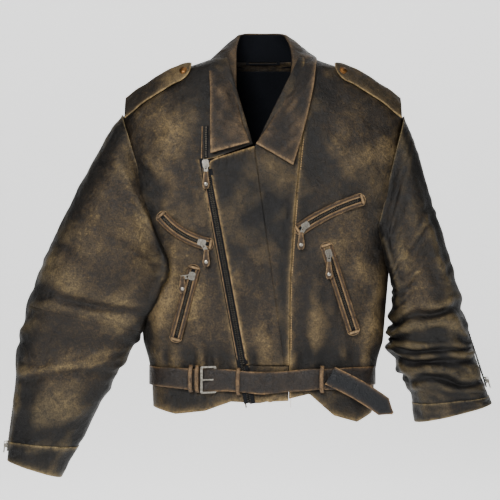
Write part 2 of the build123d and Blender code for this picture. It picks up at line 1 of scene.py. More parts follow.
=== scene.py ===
import math
import bpy
import numpy as np
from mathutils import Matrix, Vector


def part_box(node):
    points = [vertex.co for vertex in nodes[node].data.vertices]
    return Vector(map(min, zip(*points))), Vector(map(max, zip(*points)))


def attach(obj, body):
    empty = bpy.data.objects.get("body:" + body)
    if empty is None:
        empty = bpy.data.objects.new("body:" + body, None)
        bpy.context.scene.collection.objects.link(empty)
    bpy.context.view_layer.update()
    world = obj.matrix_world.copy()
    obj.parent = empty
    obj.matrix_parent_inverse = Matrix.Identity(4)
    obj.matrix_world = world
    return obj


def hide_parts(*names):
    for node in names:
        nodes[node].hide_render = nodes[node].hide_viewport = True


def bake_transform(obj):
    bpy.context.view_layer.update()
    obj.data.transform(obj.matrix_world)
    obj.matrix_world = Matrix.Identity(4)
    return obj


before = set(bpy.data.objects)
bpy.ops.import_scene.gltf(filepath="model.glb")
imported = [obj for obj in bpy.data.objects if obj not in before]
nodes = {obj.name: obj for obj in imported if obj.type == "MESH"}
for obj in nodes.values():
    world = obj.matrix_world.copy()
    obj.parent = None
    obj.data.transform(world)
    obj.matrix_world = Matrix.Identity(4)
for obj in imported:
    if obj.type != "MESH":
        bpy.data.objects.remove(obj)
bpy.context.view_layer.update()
mm = 0.001
forward = (0, -1, 0)
turn = 6.28
beltHeight = -0.552  # metres below the collar root
zipFront = -0.0925
strapHalf = 0.0168


def toLinear(hexColour):
    # sRGB hex to linear RGBA.
    parts = [int(hexColour[i:i + 2], 16) / 255 for i in (1, 3, 5)]
    return tuple(c / 12.92 if c <= 0.04045 else ((c + 0.055) / 1.055) ** 2.4 for c in parts) + (1.0,)


view = {"centre": (-0.02275, -0.3325), "distance": 3.0, "spanMetres": 0.875}


def makeStage():
    camData = bpy.data.cameras.new("camera")
    camData.sensor_width = 36
    camData.lens = 36 * view["distance"] / view["spanMetres"]
    cam = bpy.data.objects.new("camera", camData)
    cam.location = (view["centre"][0], -view["distance"], view["centre"][1])
    cam.rotation_euler = (math.pi / 2, 0, 0)
    bpy.context.collection.objects.link(cam)
    bpy.context.scene.camera = cam
    lamps = [  # name, place, size, watts
        ("keyLight", (-0.8, -2.9, 0.9), 1.1, 150),
        ("fillLight", (2.2, -2.2, 0.1), 2.4, 34),
        ("backLight", (0.4, 2.6, 1.2), 2.2, 40),
        ("topLight", (0.0, -0.3, 2.3), 1.6, 26),
    ]
    for name, place, size, watts in lamps:
        data = bpy.data.lights.new(name, "AREA")
        data.size = size
        data.energy = watts
        lamp = bpy.data.objects.new(name, data)
        lamp.location = place
        aim = np.array((0, 0, -0.35)) - np.array(place)
        lamp.rotation_euler = Vector(aim).to_track_quat("-Z", "Y").to_euler()
        bpy.context.collection.objects.link(lamp)
    world = bpy.data.worlds.new("studio")
    world.use_nodes = True
    background = world.node_tree.nodes["Background"]
    background.inputs["Color"].default_value = (1, 1, 1, 1)
    background.inputs["Strength"].default_value = 0.12
    bpy.context.scene.world = world
    floorMesh = bpy.data.meshes.new("floor")
    level, reach, rise, bend = -1.15, 5.0, 4.0, 3.0
    a = np.linspace(0, math.pi / 2, 12)
    profile = (
        [(-reach, level)]
        + [(bend + rise * 0.5 * math.sin(t), level + rise * 0.5 * (1 - math.cos(t))) for t in a]
    )
    profile.append((bend + rise * 0.5, level + rise))
    verts = [(x, y, z) for y, z in profile for x in (-reach, reach)]
    faces = [(2 * i, 2 * i + 1, 2 * i + 3, 2 * i + 2) for i in range(len(profile) - 1)]
    floorMesh.from_pydata(verts, [], faces)
    floorMesh.polygons.foreach_set("use_smooth", [True] * len(faces))
    floor = bpy.data.objects.new("floor", floorMesh)
    bpy.context.collection.objects.link(floor)
    paint = bpy.data.materials.new("pale_backdrop_paper")
    paint.use_nodes = True
    paint.node_tree.nodes["Principled BSDF"].inputs["Base Color"].default_value = toLinear("#fbfbfa")
    paint.node_tree.nodes["Principled BSDF"].inputs["Roughness"].default_value = 0.9
    paint.node_tree.nodes["Principled BSDF"].inputs["Emission Color"].default_value = (1, 1, 1, 1)
    paint.node_tree.nodes["Principled BSDF"].inputs["Emission Strength"].default_value = 1.0
    floorMesh.materials.append(paint)


makeStage()
print("stage ready")


def addNode(tree, kind, settings=None, links=None):
    # Adds a node; settings fill its properties or sockets, links maps sockets to other nodes' outputs.
    node = tree.nodes.new(kind)
    for key, value in (settings or {}).items():
        if isinstance(key, str) and hasattr(node, key) and key not in node.inputs:
            setattr(node, key, value)
        else:
            node.inputs[key].default_value = value
    for key, source in (links or {}).items():
        tree.links.new(source, node.inputs[key])
    return node


def newMaterial(name):
    material = bpy.data.materials.new(name)
    material.use_nodes = True
    tree = material.node_tree
    tree.nodes.clear()
    out = addNode(tree, "ShaderNodeOutputMaterial")
    shader = addNode(tree, "ShaderNodeBsdfPrincipled")
    tree.links.new(shader.outputs[0], out.inputs[0])
    return material, tree, shader


def rampNode(tree, factor, stops):
    ramp = addNode(tree, "ShaderNodeValToRGB", links={0: factor})
    elements = ramp.color_ramp.elements
    elements[0].position, elements[0].color = stops[0][0], toLinear(stops[0][1])
    elements[1].position, elements[1].color = stops[-1][0], toLinear(stops[-1][1])
    for place, colour in stops[1:-1]:
        elements.new(place).color = toLinear(colour)
    return ramp.outputs[0]


def mathNode(tree, operation, a, b, clamp=False):
    node = addNode(tree, "ShaderNodeMath", {"operation": operation, "use_clamp": clamp})
    for i, value in enumerate((a, b)):
        if isinstance(value, (int, float)):
            node.inputs[i].default_value = value
        else:
            tree.links.new(value, node.inputs[i])
    return node.outputs[0]


def mixColour(tree, factor, a, b, blend="MIX"):
    node = addNode(tree, "ShaderNodeMix", {"data_type": "RGBA", "blend_type": blend})
    for place, value in ((0, factor), (6, a), (7, b)):
        if isinstance(value, (int, float, tuple)):
            node.inputs[place].default_value = value
        else:
            tree.links.new(value, node.inputs[place])
    return node.outputs[2]


def noiseNode(tree, coords, sizeMm, detail=4, rough=0.55, distort=0.0):
    return addNode(
        tree, "ShaderNodeTexNoise",
        {"Scale": 1 / (sizeMm * mm), "Detail": detail, "Roughness": rough, "Distortion": distort},
        {"Vector": coords},
    ).outputs[0]


def wornLeather(name, stops, tan, grainMm=1.5, tanAmount=1.0, roughness=0.56):
    # Aniline cowhide worn through its finish: dark dye left in the valleys, pale hide on edges and ridges.
    material, tree, shader = newMaterial(name)
    coords = addNode(tree, "ShaderNodeTexCoord").outputs["Object"]
    patches = noiseNode(tree, coords, 85, 5, 0.6, 0.6)  # broad cloudy fading
    mottles = noiseNode(tree, coords, 13, 8, 0.70, 0.8)
    scuffs = noiseNode(tree, coords, 2.6, 6, 0.75)
    wear = addNode(tree, "ShaderNodeAttribute", {"attribute_name": "wear"}).outputs["Fac"]
    tone = addNode(tree, "ShaderNodeAttribute", {"attribute_name": "tone"}).outputs["Fac"]
    a = mathNode(tree, "MULTIPLY", patches, 0.34)
    b = mathNode(tree, "MULTIPLY", mottles, 0.75)
    c = mathNode(tree, "MULTIPLY", scuffs, 0.85)
    total = mathNode(tree, "ADD", mathNode(tree, "ADD", a, b), c)
    # tone shifts the base lighter or darker: it carries faded finish and also painted shade, set per piece
    total = mathNode(tree, "ADD", mathNode(tree, "SUBTRACT", total, 0.60), tone, True)
    base = rampNode(tree, total, stops)
    rubbed = mathNode(
        tree, "ADD", mathNode(tree, "MULTIPLY", mottles, 1.1), mathNode(tree, "MULTIPLY", scuffs, 0.9)
    )
    rubbed = mathNode(tree, "MULTIPLY", mathNode(tree, "SUBTRACT", rubbed, 0.72, True), wear)
    mask = mathNode(tree, "MULTIPLY", rubbed, 2.4 * tanAmount, True)
    colour = mixColour(tree, mask, base, toLinear(tan))
    tree.links.new(colour, shader.inputs["Base Color"])
    rough = addNode(
        tree, "ShaderNodeMapRange",
        {"From Min": 0.3, "From Max": 0.7, "To Min": roughness - 0.1, "To Max": roughness + 0.14},
        {"Value": mottles},
    )
    tree.links.new(rough.outputs[0], shader.inputs["Roughness"])
    shader.inputs["Specular IOR Level"].default_value = 0.2
    grain = addNode(
        tree, "ShaderNodeTexVoronoi", {"feature": "DISTANCE_TO_EDGE", "Scale": 1 / (grainMm * mm)},
        {"Vector": coords},
    )
    creases = noiseNode(tree, coords, 9, 7, 0.62, 1.2)
    height = mathNode(
        tree, "ADD", mathNode(tree, "MULTIPLY", grain.outputs[0], 0.25),
        mathNode(tree, "MULTIPLY", creases, 2.2),
    )
    bump = addNode(tree, "ShaderNodeBump", {"Strength": 0.75, "Distance": 1.5 * mm}, {"Height": height})
    tree.links.new(bump.outputs[0], shader.inputs["Normal"])
    return material


def plainMetal(name, colour, roughness, tarnish, tarnishMm=3.0):
    # Plated or solid metal with fine scratches and dull spots.
    material, tree, shader = newMaterial(name)
    coords = addNode(tree, "ShaderNodeTexCoord").outputs["Object"]
    spots = noiseNode(tree, coords, tarnishMm, 5, 0.6)
    base = rampNode(tree, spots, [(0.35, colour), (0.75, tarnish)])
    tree.links.new(base, shader.inputs["Base Color"])
    shader.inputs["Metallic"].default_value = 1.0
    rough = addNode(
        tree, "ShaderNodeMapRange", {"To Min": roughness - 0.06, "To Max": roughness + 0.22},
        {"Value": spots},
    )
    tree.links.new(rough.outputs[0], shader.inputs["Roughness"])
    fine = noiseNode(tree, coords, 0.5, 3)
    bump = addNode(tree, "ShaderNodeBump", {"Strength": 0.25, "Distance": 0.1 * mm}, {"Height": fine})
    tree.links.new(bump.outputs[0], shader.inputs["Normal"])
    return material


def wovenCloth(name, colour, dark, threadMm, sheen=0.2, roughness=0.7):
    # Twill lining: crossed waves make the threads, drawn at 1.6 mm so that they show.
    material, tree, shader = newMaterial(name)
    coords = addNode(tree, "ShaderNodeTexCoord").outputs["Object"]
    warp = addNode(
        tree, "ShaderNodeTexWave",
        {"bands_direction": "DIAGONAL", "Scale": 0.32 / (threadMm * mm), "Distortion": 0.4},
        {"Vector": coords},
    )
    cloud = noiseNode(tree, coords, 30, 4)
    colourOut = mixColour(
        tree, mathNode(tree, "MULTIPLY", warp.outputs[1], cloud), toLinear(dark), toLinear(colour)
    )
    tree.links.new(colourOut, shader.inputs["Base Color"])
    shader.inputs["Roughness"].default_value = roughness
    shader.inputs["Sheen Weight"].default_value = sheen
    shader.inputs["Specular IOR Level"].default_value = 0.12
    bump = addNode(
        tree, "ShaderNodeBump", {"Strength": 0.5, "Distance": 0.3 * mm}, {"Height": warp.outputs[1]}
    )
    tree.links.new(bump.outputs[0], shader.inputs["Normal"])
    return material


bodyStops = [
    (0.0, "#040303"),
    (0.22, "#0b0907"),
    (0.42, "#1b150e"),
    (0.60, "#33291a"),
    (0.80, "#5a4b2f"),
    (1.0, "#85744c"),
]
collarStops = [(0.0, "#060504"), (0.35, "#110d0a"), (0.65, "#241c12"), (1.0, "#57462b")]
shellLeather = wornLeather("distressed_cowhide_body", bodyStops, "#86704a")
sleeveLeather = wornLeather("distressed_cowhide_sleeve", bodyStops, "#7f6e4c")
collarLeather = wornLeather("distressed_cowhide_collar", collarStops, "#7a6347")
weltStops = [(0.0, "#0c0a08"), (0.4, "#1f1710"), (0.7, "#3a2a1a"), (1.0, "#70573a")]
trimLeather = wornLeather("folded_welt_leather", weltStops, "#8c7250")
beltStops = [(0.0, "#020305"), (0.45, "#05070b"), (0.75, "#0e0d0b"), (1.0, "#241d15")]
beltLeather = wornLeather("belt_leather", beltStops, "#8a6c48", roughness=0.42)
liningCloth = wovenCloth("navy_twill_lining", "#060910", "#020306", 1.6, 0.0, 0.9)
tapeCloth = wovenCloth("zip_tape_weave", "#0e1015", "#050608", 1.6, 0.0)
nickel = plainMetal("nickel_plate", "#8f8b82", 0.24, "#4c4840")
zipBrass = plainMetal("oxidised_zip_teeth", "#4a453b", 0.36, "#1c1916", 4)
snapBrass = plainMetal("aged_brass", "#7a5530", 0.36, "#35210f", 5)
threadMaterial = wornLeather("waxed_thread", [(0.0, "#3a2c1c"), (1.0, "#a98a5c")], "#b89464")
print("materials ready")


def smoothKeys(keys, t):
    # Catmull-Rom curve through evenly spaced keys (n x k), read at t in 0..1.
    keys = np.asarray(keys, float)
    if keys.ndim == 1:
        keys = keys[:, None]
    last = len(keys) - 1
    padded = np.vstack([2 * keys[0] - keys[1], keys, 2 * keys[-1] - keys[-2]])
    s = np.clip(np.asarray(t, float), 0, 1) * last
    i = np.minimum(s.astype(int), last - 1)
    f = (s - i)[..., None]
    p0, p1, p2, p3 = (padded[i + k] for k in range(4))
    return 0.5 * (
        2 * p1 + (p2 - p0) * f + (2 * p0 - 5 * p1 + 4 * p2 - p3) * f**2 + (3 * p1 - p0 - 3 * p2 + p3) * f**3
    )


def downRows(first, last, rows, columns):
    return np.linspace(first, last, rows)[:, None] * np.ones((1, columns))


def acrossColumns(first, last, columns, rows):
    return np.linspace(first, last, columns)[None, :] * np.ones((rows, 1))


def headings(path):
    # Unit direction of travel at each point of a path.
    way = np.gradient(path, axis=0)
    return way / np.linalg.norm(way, axis=1, keepdims=True)


def forwardBy(millimetres):
    return np.array([0, -millimetres * mm, 0])


def facing(p, way):
    # An outward direction straight forward (-1) or back (1) at each point.
    out = np.zeros_like(p)
    out[..., 1] = way
    return out


def gridNormals(p):
    # Unit normals of a grid of points, from its two directions.
    n = np.cross(np.gradient(p, axis=1), np.gradient(p, axis=0))
    return n / np.maximum(np.linalg.norm(n, axis=2, keepdims=True), 1e-12)


def waves(x, z, seed, size, count=10, lean=0.0, spread=1.0):
    # Cloudy waves: summed sines of random direction about a lean, -1 to 1.
    rng = np.random.default_rng(seed)
    total = np.zeros_like(x)
    for i in range(count):
        angle = lean + rng.normal() * spread
        k = 2 * math.pi / (size * rng.uniform(0.55, 1.7))
        total += (
            np.sin(k * (x * math.cos(angle) + z * math.sin(angle)) + rng.uniform(0, turn)) / math.sqrt(count)
        )
    return total


def ridge(x, z, x1, z1, x2, z2, width):
    # A fold along a line: 1 on the line, falling off across it and softly past its ends.
    dx, dz = x2 - x1, z2 - z1
    run2 = dx * dx + dz * dz
    t = np.clip(((x - x1) * dx + (z - z1) * dz) / run2, 0, 1)
    d2 = (x - x1 - t * dx) ** 2 + (z - z1 - t * dz) ** 2
    return np.exp(-d2 / width**2) * np.sin(np.clip(t, 0.08, 0.92) * math.pi) ** 0.5


def gridObject(
    name, p, material, body, wear=None, tone=None, thickness=1.4 * mm, closed=False, outward=None
):
    # A sheet from a grid of points (rows x columns), faces outward, with wear and tone at each point.
    rows, columns = p.shape[:2]
    index = np.arange(rows * columns).reshape(rows, columns)
    if closed:
        index = np.hstack([index, index[:, :1]])
    a, b, c, d = index[:-1, :-1], index[:-1, 1:], index[1:, 1:], index[1:, :-1]
    quads = np.stack([a, b, c, d], axis=-1).reshape(-1, 4)
    n = gridNormals(p)
    if outward is not None and float((n * outward).sum()) > 0:
        quads = quads[:, ::-1]
    mesh = bpy.data.meshes.new(name)
    mesh.from_pydata(p.reshape(-1, 3), [], quads.tolist())
    mesh.polygons.foreach_set("use_smooth", np.ones(len(quads), bool))
    for label, values in (("wear", wear), ("tone", tone)):
        attribute = mesh.attributes.new(label, "FLOAT", "POINT")
        flat = np.zeros(rows * columns) if values is None else np.asarray(values, float).reshape(-1)
        attribute.data.foreach_set("value", flat)
    mesh.materials.append(material)
    piece = bpy.data.objects.new(name, mesh)
    bpy.context.collection.objects.link(piece)
    if thickness:
        solid = piece.modifiers.new("thickness", "SOLIDIFY")
        solid.thickness = thickness
        solid.offset = -1
        solid.use_even_offset = False
    if body:
        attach(piece, body)
    return piece


def rawObject(name, verts, faces, material, body):
    mesh = bpy.data.meshes.new(name)
    mesh.from_pydata(np.asarray(verts).reshape(-1, 3), [], np.asarray(faces).tolist())
    for label in ("wear", "tone"):
        attribute = mesh.attributes.new(label, "FLOAT", "POINT")
        attribute.data.foreach_set("value", np.full(len(mesh.vertices), 0.35))
    mesh.materials.append(material)
    piece = bpy.data.objects.new(name, mesh)
    bpy.context.collection.objects.link(piece)
    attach(piece, body)
    return piece


boxCorners = np.array(
    [[-1, -1, -1], [1, -1, -1], [1, 1, -1], [-1, 1, -1], [-1, -1, 1], [1, -1, 1], [1, 1, 1], [-1, 1, 1]],
    float,
)
boxFaces = np.array([[0, 3, 2, 1], [4, 5, 6, 7], [0, 1, 5, 4], [1, 2, 6, 5], [2, 3, 7, 6], [3, 0, 4, 7]])


def blocks(name, centres, along, out, size, material, body):
    # Many small blocks; size is along the path, across it and out of the surface.
    centres, along, out = (np.asarray(v, float) for v in (centres, along, out))
    across = np.cross(out, along)
    corners = boxCorners * np.array(size) / 2
    corners[4:, :2] *= 0.7  # tapered tops
    v = (
        centres[:, None] + corners[None, :, 0:1] * along[:, None]
        + corners[None, :, 1:2] * across[:, None] + corners[None, :, 2:3] * out[:, None]
    )
    f = boxFaces[None] + 8 * np.arange(len(centres))[:, None, None]
    return rawObject(name, v.reshape(-1, 3), f.reshape(-1, 4), material, body)


def along(path, pitch):
    # Even points and directions along a path of points.
    path = np.asarray(path, float)
    steps = np.linalg.norm(np.diff(path, axis=0), axis=1)
    s = np.concatenate([[0], np.cumsum(steps)])
    count = max(2, int(s[-1] / pitch))
    t = (np.arange(count) + 0.5) * s[-1] / count
    points = np.stack([np.interp(t, s, path[:, i]) for i in range(3)], axis=1)
    ahead = np.stack([np.interp(np.minimum(t + 1e-3, s[-1]), s, path[:, i]) for i in range(3)], axis=1)
    behind = np.stack([np.interp(np.maximum(t - 1e-3, 0), s, path[:, i]) for i in range(3)], axis=1)
    way = ahead - behind
    return points, way / np.linalg.norm(way, axis=1, keepdims=True)


def cordOn(name, path, out, radius, material, body, wear=0.9, tone=0.3, flat=1.0, sides=8):
    # Round or flattened piping carried along a path; out is the surface's outward direction.
    path = np.asarray(path, float)
    out = np.broadcast_to(np.asarray(out, float), path.shape)
    way = headings(path)
    across = np.cross(out, way)
    angle = np.linspace(0, 2 * math.pi, sides, endpoint=False)
    ring = (
        np.cos(angle)[None, :, None] * across[:, None] * radius
        + np.sin(angle)[None, :, None] * out[:, None] * radius * flat
    )
    p = path[:, None] + ring
    worn = wear * np.clip(np.sin(angle), 0, 1)[None, :] * np.ones((len(path), 1))
    piece = gridObject(name, p, material, body, worn, np.full(worn.shape, tone), 0, True, ring)
    return piece


def stitches(name, path, out, body, pitch=4.2 * mm, lift=0.5 * mm):
    points, way = along(path, pitch)
    out = np.broadcast_to(np.asarray(out, float), points.shape)
    return blocks(name, points + out * lift, way, out, (2.9 * mm, 0.8 * mm, 0.7 * mm), threadMaterial, body)


torso = {  # heights, and the half width and half depth at each, in metres
    "z": np.array([
        0.0, -0.008, -0.0175, -0.035, -0.0525, -0.070, -0.0875, -0.105, -0.170, -0.280, -0.385, -0.490,
        -0.520, -0.552, -0.600, -0.640,
    ]),
    "half": np.array([
        0.088, 0.110, 0.140, 0.166, 0.192, 0.217, 0.235, 0.243, 0.238, 0.226, 0.216, 0.207, 0.198, 0.192,
        0.190, 0.188,
    ]),
    "depth": np.array([
        0.046, 0.052, 0.057, 0.064, 0.069, 0.074, 0.079, 0.083, 0.0915, 0.0925, 0.0925, 0.092, 0.090,
        0.087, 0.090, 0.092,
    ]),
    "power": np.array([2.2, 2.2, 2.2, 2.2, 2.3, 2.4, 2.5, 2.6, 3.3, 3.6, 3.6, 3.6, 3.6, 3.6, 3.6, 3.6]),
}
zipLean, zipTop = 0.1838, (-0.098, -0.186)
foldTop, foldLean = (-0.0157, -0.1575), 0.1388
halfOpening = 0.0072


def at(z, key):
    return np.interp(-z, -torso["z"], torso[key])


def zipX(z):
    return zipTop[0] + (zipTop[1] - z) * zipLean


def foldX(z):
    return foldTop[0] + (foldTop[1] - z) * foldLean


def seamX(z):
    return np.interp(-z, [0.0, 0.136, 0.254, 0.383, 0.60], [0.072, 0.066, 0.054, 0.045, 0.0425])


def torsoDepth(x, z):
    # Depth of the torso's surface at a place in the front plane: a rounded section.
    share = np.clip(np.abs(x) / at(z, "half"), 0, 1)
    power = at(z, "power")
    return at(z, "depth") * np.clip(1 - share**power, 0, 1) ** (1 / power)


frontFolds = [  # x1, z1, x2, z2, width, height: long drapes and the bunching above the belt
    (-0.225, -0.150, -0.150, -0.225, 0.016, 3.2), (-0.190, -0.240, -0.215, -0.330, 0.014, -2.5),
    (-0.150, -0.330, -0.185, -0.500, 0.014, 3.5), (-0.120, -0.400, -0.105, -0.525, 0.012, 3.0),
    (-0.085, -0.300, -0.060, -0.510, 0.016, -2.4), (0.205, -0.150, 0.120, -0.215, 0.016, 3.0),
    (0.225, -0.270, 0.180, -0.350, 0.015, -3.0), (0.200, -0.380, 0.170, -0.520, 0.014, 4.2),
    (0.150, -0.330, 0.110, -0.520, 0.013, -2.6), (0.090, -0.380, 0.085, -0.525, 0.012, 3.0),
    (0.060, -0.440, 0.066, -0.530, 0.010, -2.6), (-0.010, -0.430, 0.010, -0.528, 0.012, 2.2),
    (0.090, -0.140, 0.150, -0.170, 0.018, 2.4), (-0.140, -0.110, -0.180, -0.170, 0.018, 2.6),
]
backFolds = [
    (-0.200, -0.180, -0.080, -0.260, 0.018, 4.0), (0.200, -0.180, 0.080, -0.250, 0.018, 4.0),
    (-0.120, -0.340, -0.140, -0.520, 0.016, 4.5), (0.120, -0.350, 0.150, -0.520, 0.016, 4.5),
    (-0.030, -0.300, -0.020, -0.520, 0.018, -3.5), (0.045, -0.300, 0.060, -0.520, 0.014, 3.0),
]


def drape(x, z, folds, seed):
    # Height of the folds in metres, and the same as -1..1 for wear.
    low = waves(x, z, seed, 0.12, 9) * 1.5
    fine = waves(x + 0.004 * waves(x, z, seed + 5, 0.05), z, seed + 1, 0.030, 12, 0.4, 0.9) * 0.55
    bunch = np.exp(-((z + 0.518) / 0.022) ** 2) * waves(x, z * 0.35, seed + 2, 0.036, 8, 0.0, 0.35) * 2.0
    total = low + fine + bunch
    for x1, z1, x2, z2, width, height in folds:
        total = total + height * ridge(x, z, x1, z1, x2, z2, width)
    return total * mm, np.clip(total / 4.0, -1, 1)


hemDrops = np.array([
    [-0.190, -0.602], [-0.15, -0.612], [-0.10, -0.606], [-0.055, -0.590], [-0.018, -0.592], [0.045, -0.585],
    [0.078, -0.577], [0.095, -0.592], [0.120, -0.614], [0.160, -0.626], [0.185, -0.612], [0.192, -0.600],
])


def backHem(x):
    return -0.572 - 0.030 * np.clip((np.abs(x) - 0.10) / 0.085, 0, 1)


def frontHem(x):
    return np.interp(x, hemDrops[:, 0], hemDrops[:, 1])


def panelGrid(
    leftEdge, rightEdge, zHigh, zLow, front=True, columns=60, rows=150, hem=None, folds=None, seed=1,
    ease=(0, 0),
):
    # Rows of constant height between two edges; ease packs points towards an edge at the torso's side.
    v = downRows(0, 1, rows, columns)
    u = acrossColumns(0, 1, columns, rows)
    if ease == (1, 0):
        u = u**2
    if ease == (0, 1):
        u = 1 - (1 - u) ** 2
    if ease == (1, 1):
        u = 0.5 - 0.5 * np.cos(math.pi * u)
    z = zHigh + (zLow - zHigh) * v**1.25
    left, right = leftEdge(z), rightEdge(z)
    x = left + (right - left) * u
    if hem is not None:
        z = z + (hem(x) - zLow) * np.clip((v - 0.80) / 0.20, 0, 1) ** 2
    side = -1 if front else 1
    y = side * torsoDepth(x, z)
    p = np.stack([x, y, z], axis=-1)
    n = gridNormals(p)
    centre = np.zeros_like(p)
    centre[..., 2] = z
    flip = np.sign(((p - centre) * n).sum(axis=2, keepdims=True))
    n = n * np.where(flip == 0, 1, flip)
    height, high = drape(x, z, folds or (frontFolds if front else backFolds), seed)
    sideFade = np.clip((at(z, "half") - np.abs(x)) / 0.03, 0, 1) ** 0.7
    topFade = np.clip((-0.012 - z) / 0.05, 0.15, 1)
    height = height * sideFade * topFade
    p = p + n * height[..., None]
    return p, n, high, (x, z, left, right)


def edgeWear(distance, width=2.6 * mm):
    return np.exp(-np.clip(distance, 0, None) / width)


def frontFadeAndShade(x, z):
    # Lighter where the finish has faded, on the pocket areas and chest; darker at the waist, shoulders and
    # sides, which is painted shade: where the sides turn away, beside and under the collar, and about the
    # belt.
    spots = [  # x, z, radius x, radius z, amount
        (-0.135, -0.390, 0.060, 0.090, 0.26), (-0.125, -0.205, 0.050, 0.050, 0.08),
        (0.005, -0.440, 0.060, 0.110, 0.12),
        (0.120, -0.300, 0.050, 0.070, 0.16), (0.160, -0.420, 0.030, 0.100, 0.14),
        (-0.060, -0.480, 0.060, 0.060, 0.10),
        (0.150, -0.110, 0.060, 0.040, 0.14), (-0.175, -0.120, 0.040, 0.040, 0.16),
        # painted shade at the side of the torso
        (-0.200, -0.420, 0.02, 0.12, -0.18),
        # painted shade under the collar leaves (both spots on this line)
        (0.020, -0.250, 0.055, 0.080, -0.26), (-0.040, -0.225, 0.05, 0.06, -0.16),
        (0.090, -0.430, 0.030, 0.100, -0.14),
        # painted shade beside and under the collar (this line and the next)
        (-0.095, -0.070, 0.035, 0.060, -0.16), (0.095, -0.080, 0.030, 0.070, -0.18),
        (0.055, -0.180, 0.030, 0.060, -0.16),
        # the second spot here and the spot on the next line: painted shade at the sides
        (-0.160, -0.290, 0.040, 0.030, -0.14), (-0.205, -0.260, 0.025, 0.090, -0.20),
        (0.205, -0.300, 0.020, 0.100, -0.22),
        # the second spot here and the spot on the next line: painted shade in the bunching just above the belt
        (-0.070, -0.330, 0.028, 0.080, -0.10), (-0.090, -0.510, 0.090, 0.018, -0.16),
        (0.110, -0.515, 0.090, 0.018, -0.18),
        # the second spot here and the spot on the next line: painted shadow under the belt
        (0.160, -0.200, 0.060, 0.030, -0.08), (-0.130, -0.590, 0.060, 0.030, -0.10),
        (0.130, -0.590, 0.060, 0.030, -0.14),
        (-0.11, -0.30, 0.04, 0.03, 0.05), (0.200, -0.220, 0.030, 0.080, 0.05),
        # painted shadow in a band under the belt
        (0.0, -0.585, 0.2, 0.02, -0.05),
    ]
    total = np.zeros_like(x)
    for cx, cz, rx, rz, amount in spots:
        total = total + amount * np.exp(-((x - cx) / rx) ** 2 - ((z - cz) / rz) ** 2)
    return total


def makeTorso():
    p, n, high, (x, z, left, right) = panelGrid(
        lambda z: -at(z, "half"), lambda z: np.where(
            z > -0.179, np.interp(-z, [0.0, 0.152, 0.178, 0.179], [-0.062, -0.018, -0.088, -0.092]),
            zipX(z) - halfOpening,
        ),
        -0.001, -0.602, True, 84, 170, frontHem, None, 11, (1, 0))
    wear = (
        0.85 * edgeWear(right - x) * (z < -0.17) + 0.30 * np.clip(high, 0, 1)
        + 0.8 * edgeWear(z - frontHem(x), 4 * mm)
    )
    front = gridObject(
        "frontRight", p, shellLeather, "torso", wear, frontFadeAndShade(x, z) + 0.06 * high, outward=n
    )
    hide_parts("right_front")
    p, n, high, (x, z, left, right) = panelGrid(
        lambda z: seamX(z) + 0.0006, lambda z: at(z, "half"),
        -0.001, -0.602, True, 84, 170, frontHem, None, 12, (0, 1))
    wear = 0.5 * edgeWear(x - left) + 0.30 * np.clip(high, 0, 1) + 0.8 * edgeWear(z - frontHem(x), 4 * mm)
    front = gridObject(
        "frontLeft", p, shellLeather, "torso", wear, frontFadeAndShade(x, z) + 0.06 * high, outward=n
    )
    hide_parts("left_front")
    p, n, high, (x, z, left, right) = panelGrid(
        lambda z: np.where(
            z > foldTop[1], np.interp(-z, [0.0, 0.152, 0.158], [0.062, -0.012, -0.0155]), foldX(z)
        ), lambda z: np.maximum(seamX(z), foldX(z) + 0.0006),
        -0.001, -0.528, True, 26, 150, None, None, 12)
    wear = 0.7 * edgeWear(right - x, 2.4 * mm) + 0.25 * np.clip(high, 0, 1)
    # the last term is painted shade: a dark strip along the seam, beside the front left panel's edge
    tone = frontFadeAndShade(x, z) + 0.08 * high - 0.26 * np.exp(-((right - x - 0.012) / 0.009) ** 2)
    centre = gridObject("centerPanel", p + n * 0.6 * mm, shellLeather, "torso", wear, tone, outward=n)
    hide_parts("left_center_panel")
    p, n, high, (x, z, left, right) = panelGrid(
        lambda z: zipX(z) + halfOpening, lambda z: seamX(z) - 0.0004,
        -0.5295, -0.602, True, 26, 26, frontHem, None, 12)
    wear = (
        0.9 * edgeWear(x - left, 3 * mm) + 0.25 * np.clip(high, 0, 1)
        + 0.8 * edgeWear(z - frontHem(x), 4 * mm)
    )
    skirt = gridObject(
        "overlapSkirt", p + n * 0.5 * mm, shellLeather, "torso", wear, frontFadeAndShade(x, z) + 0.08 * high,
        outward=n,
    )
    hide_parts("overlap_skirt")
    for name, high0, low0, node, seed in (
        ("backYoke", -0.001, -0.1500, "back_yoke", 21), ("backPanel", -0.1485, -0.602, "back_panel", 21)
    ):
        p, n, high, (x, z, left, right) = panelGrid(
            lambda z: -at(z, "half"), lambda z: at(z, "half"), high0, low0, False, 110,
            60 if name == "backYoke" else 130, None if name == "backYoke" else backHem, None, seed, (1, 1))
        seam = edgeWear(np.abs(z - (low0 if name == "backYoke" else high0)), 3 * mm)
        wear = 0.6 * seam + 0.30 * np.clip(high, 0, 1) + 0.7 * edgeWear(z - backHem(x), 4 * mm)
        tone = 0.06 + 0.10 * high + 0.10 * np.exp(-((z + 0.18) / 0.05) ** 2)
        if name == "backYoke":
            p = p + n * 1.2 * mm
        back = gridObject(name, p, shellLeather, "torso", wear, tone, outward=n)
        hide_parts(node)


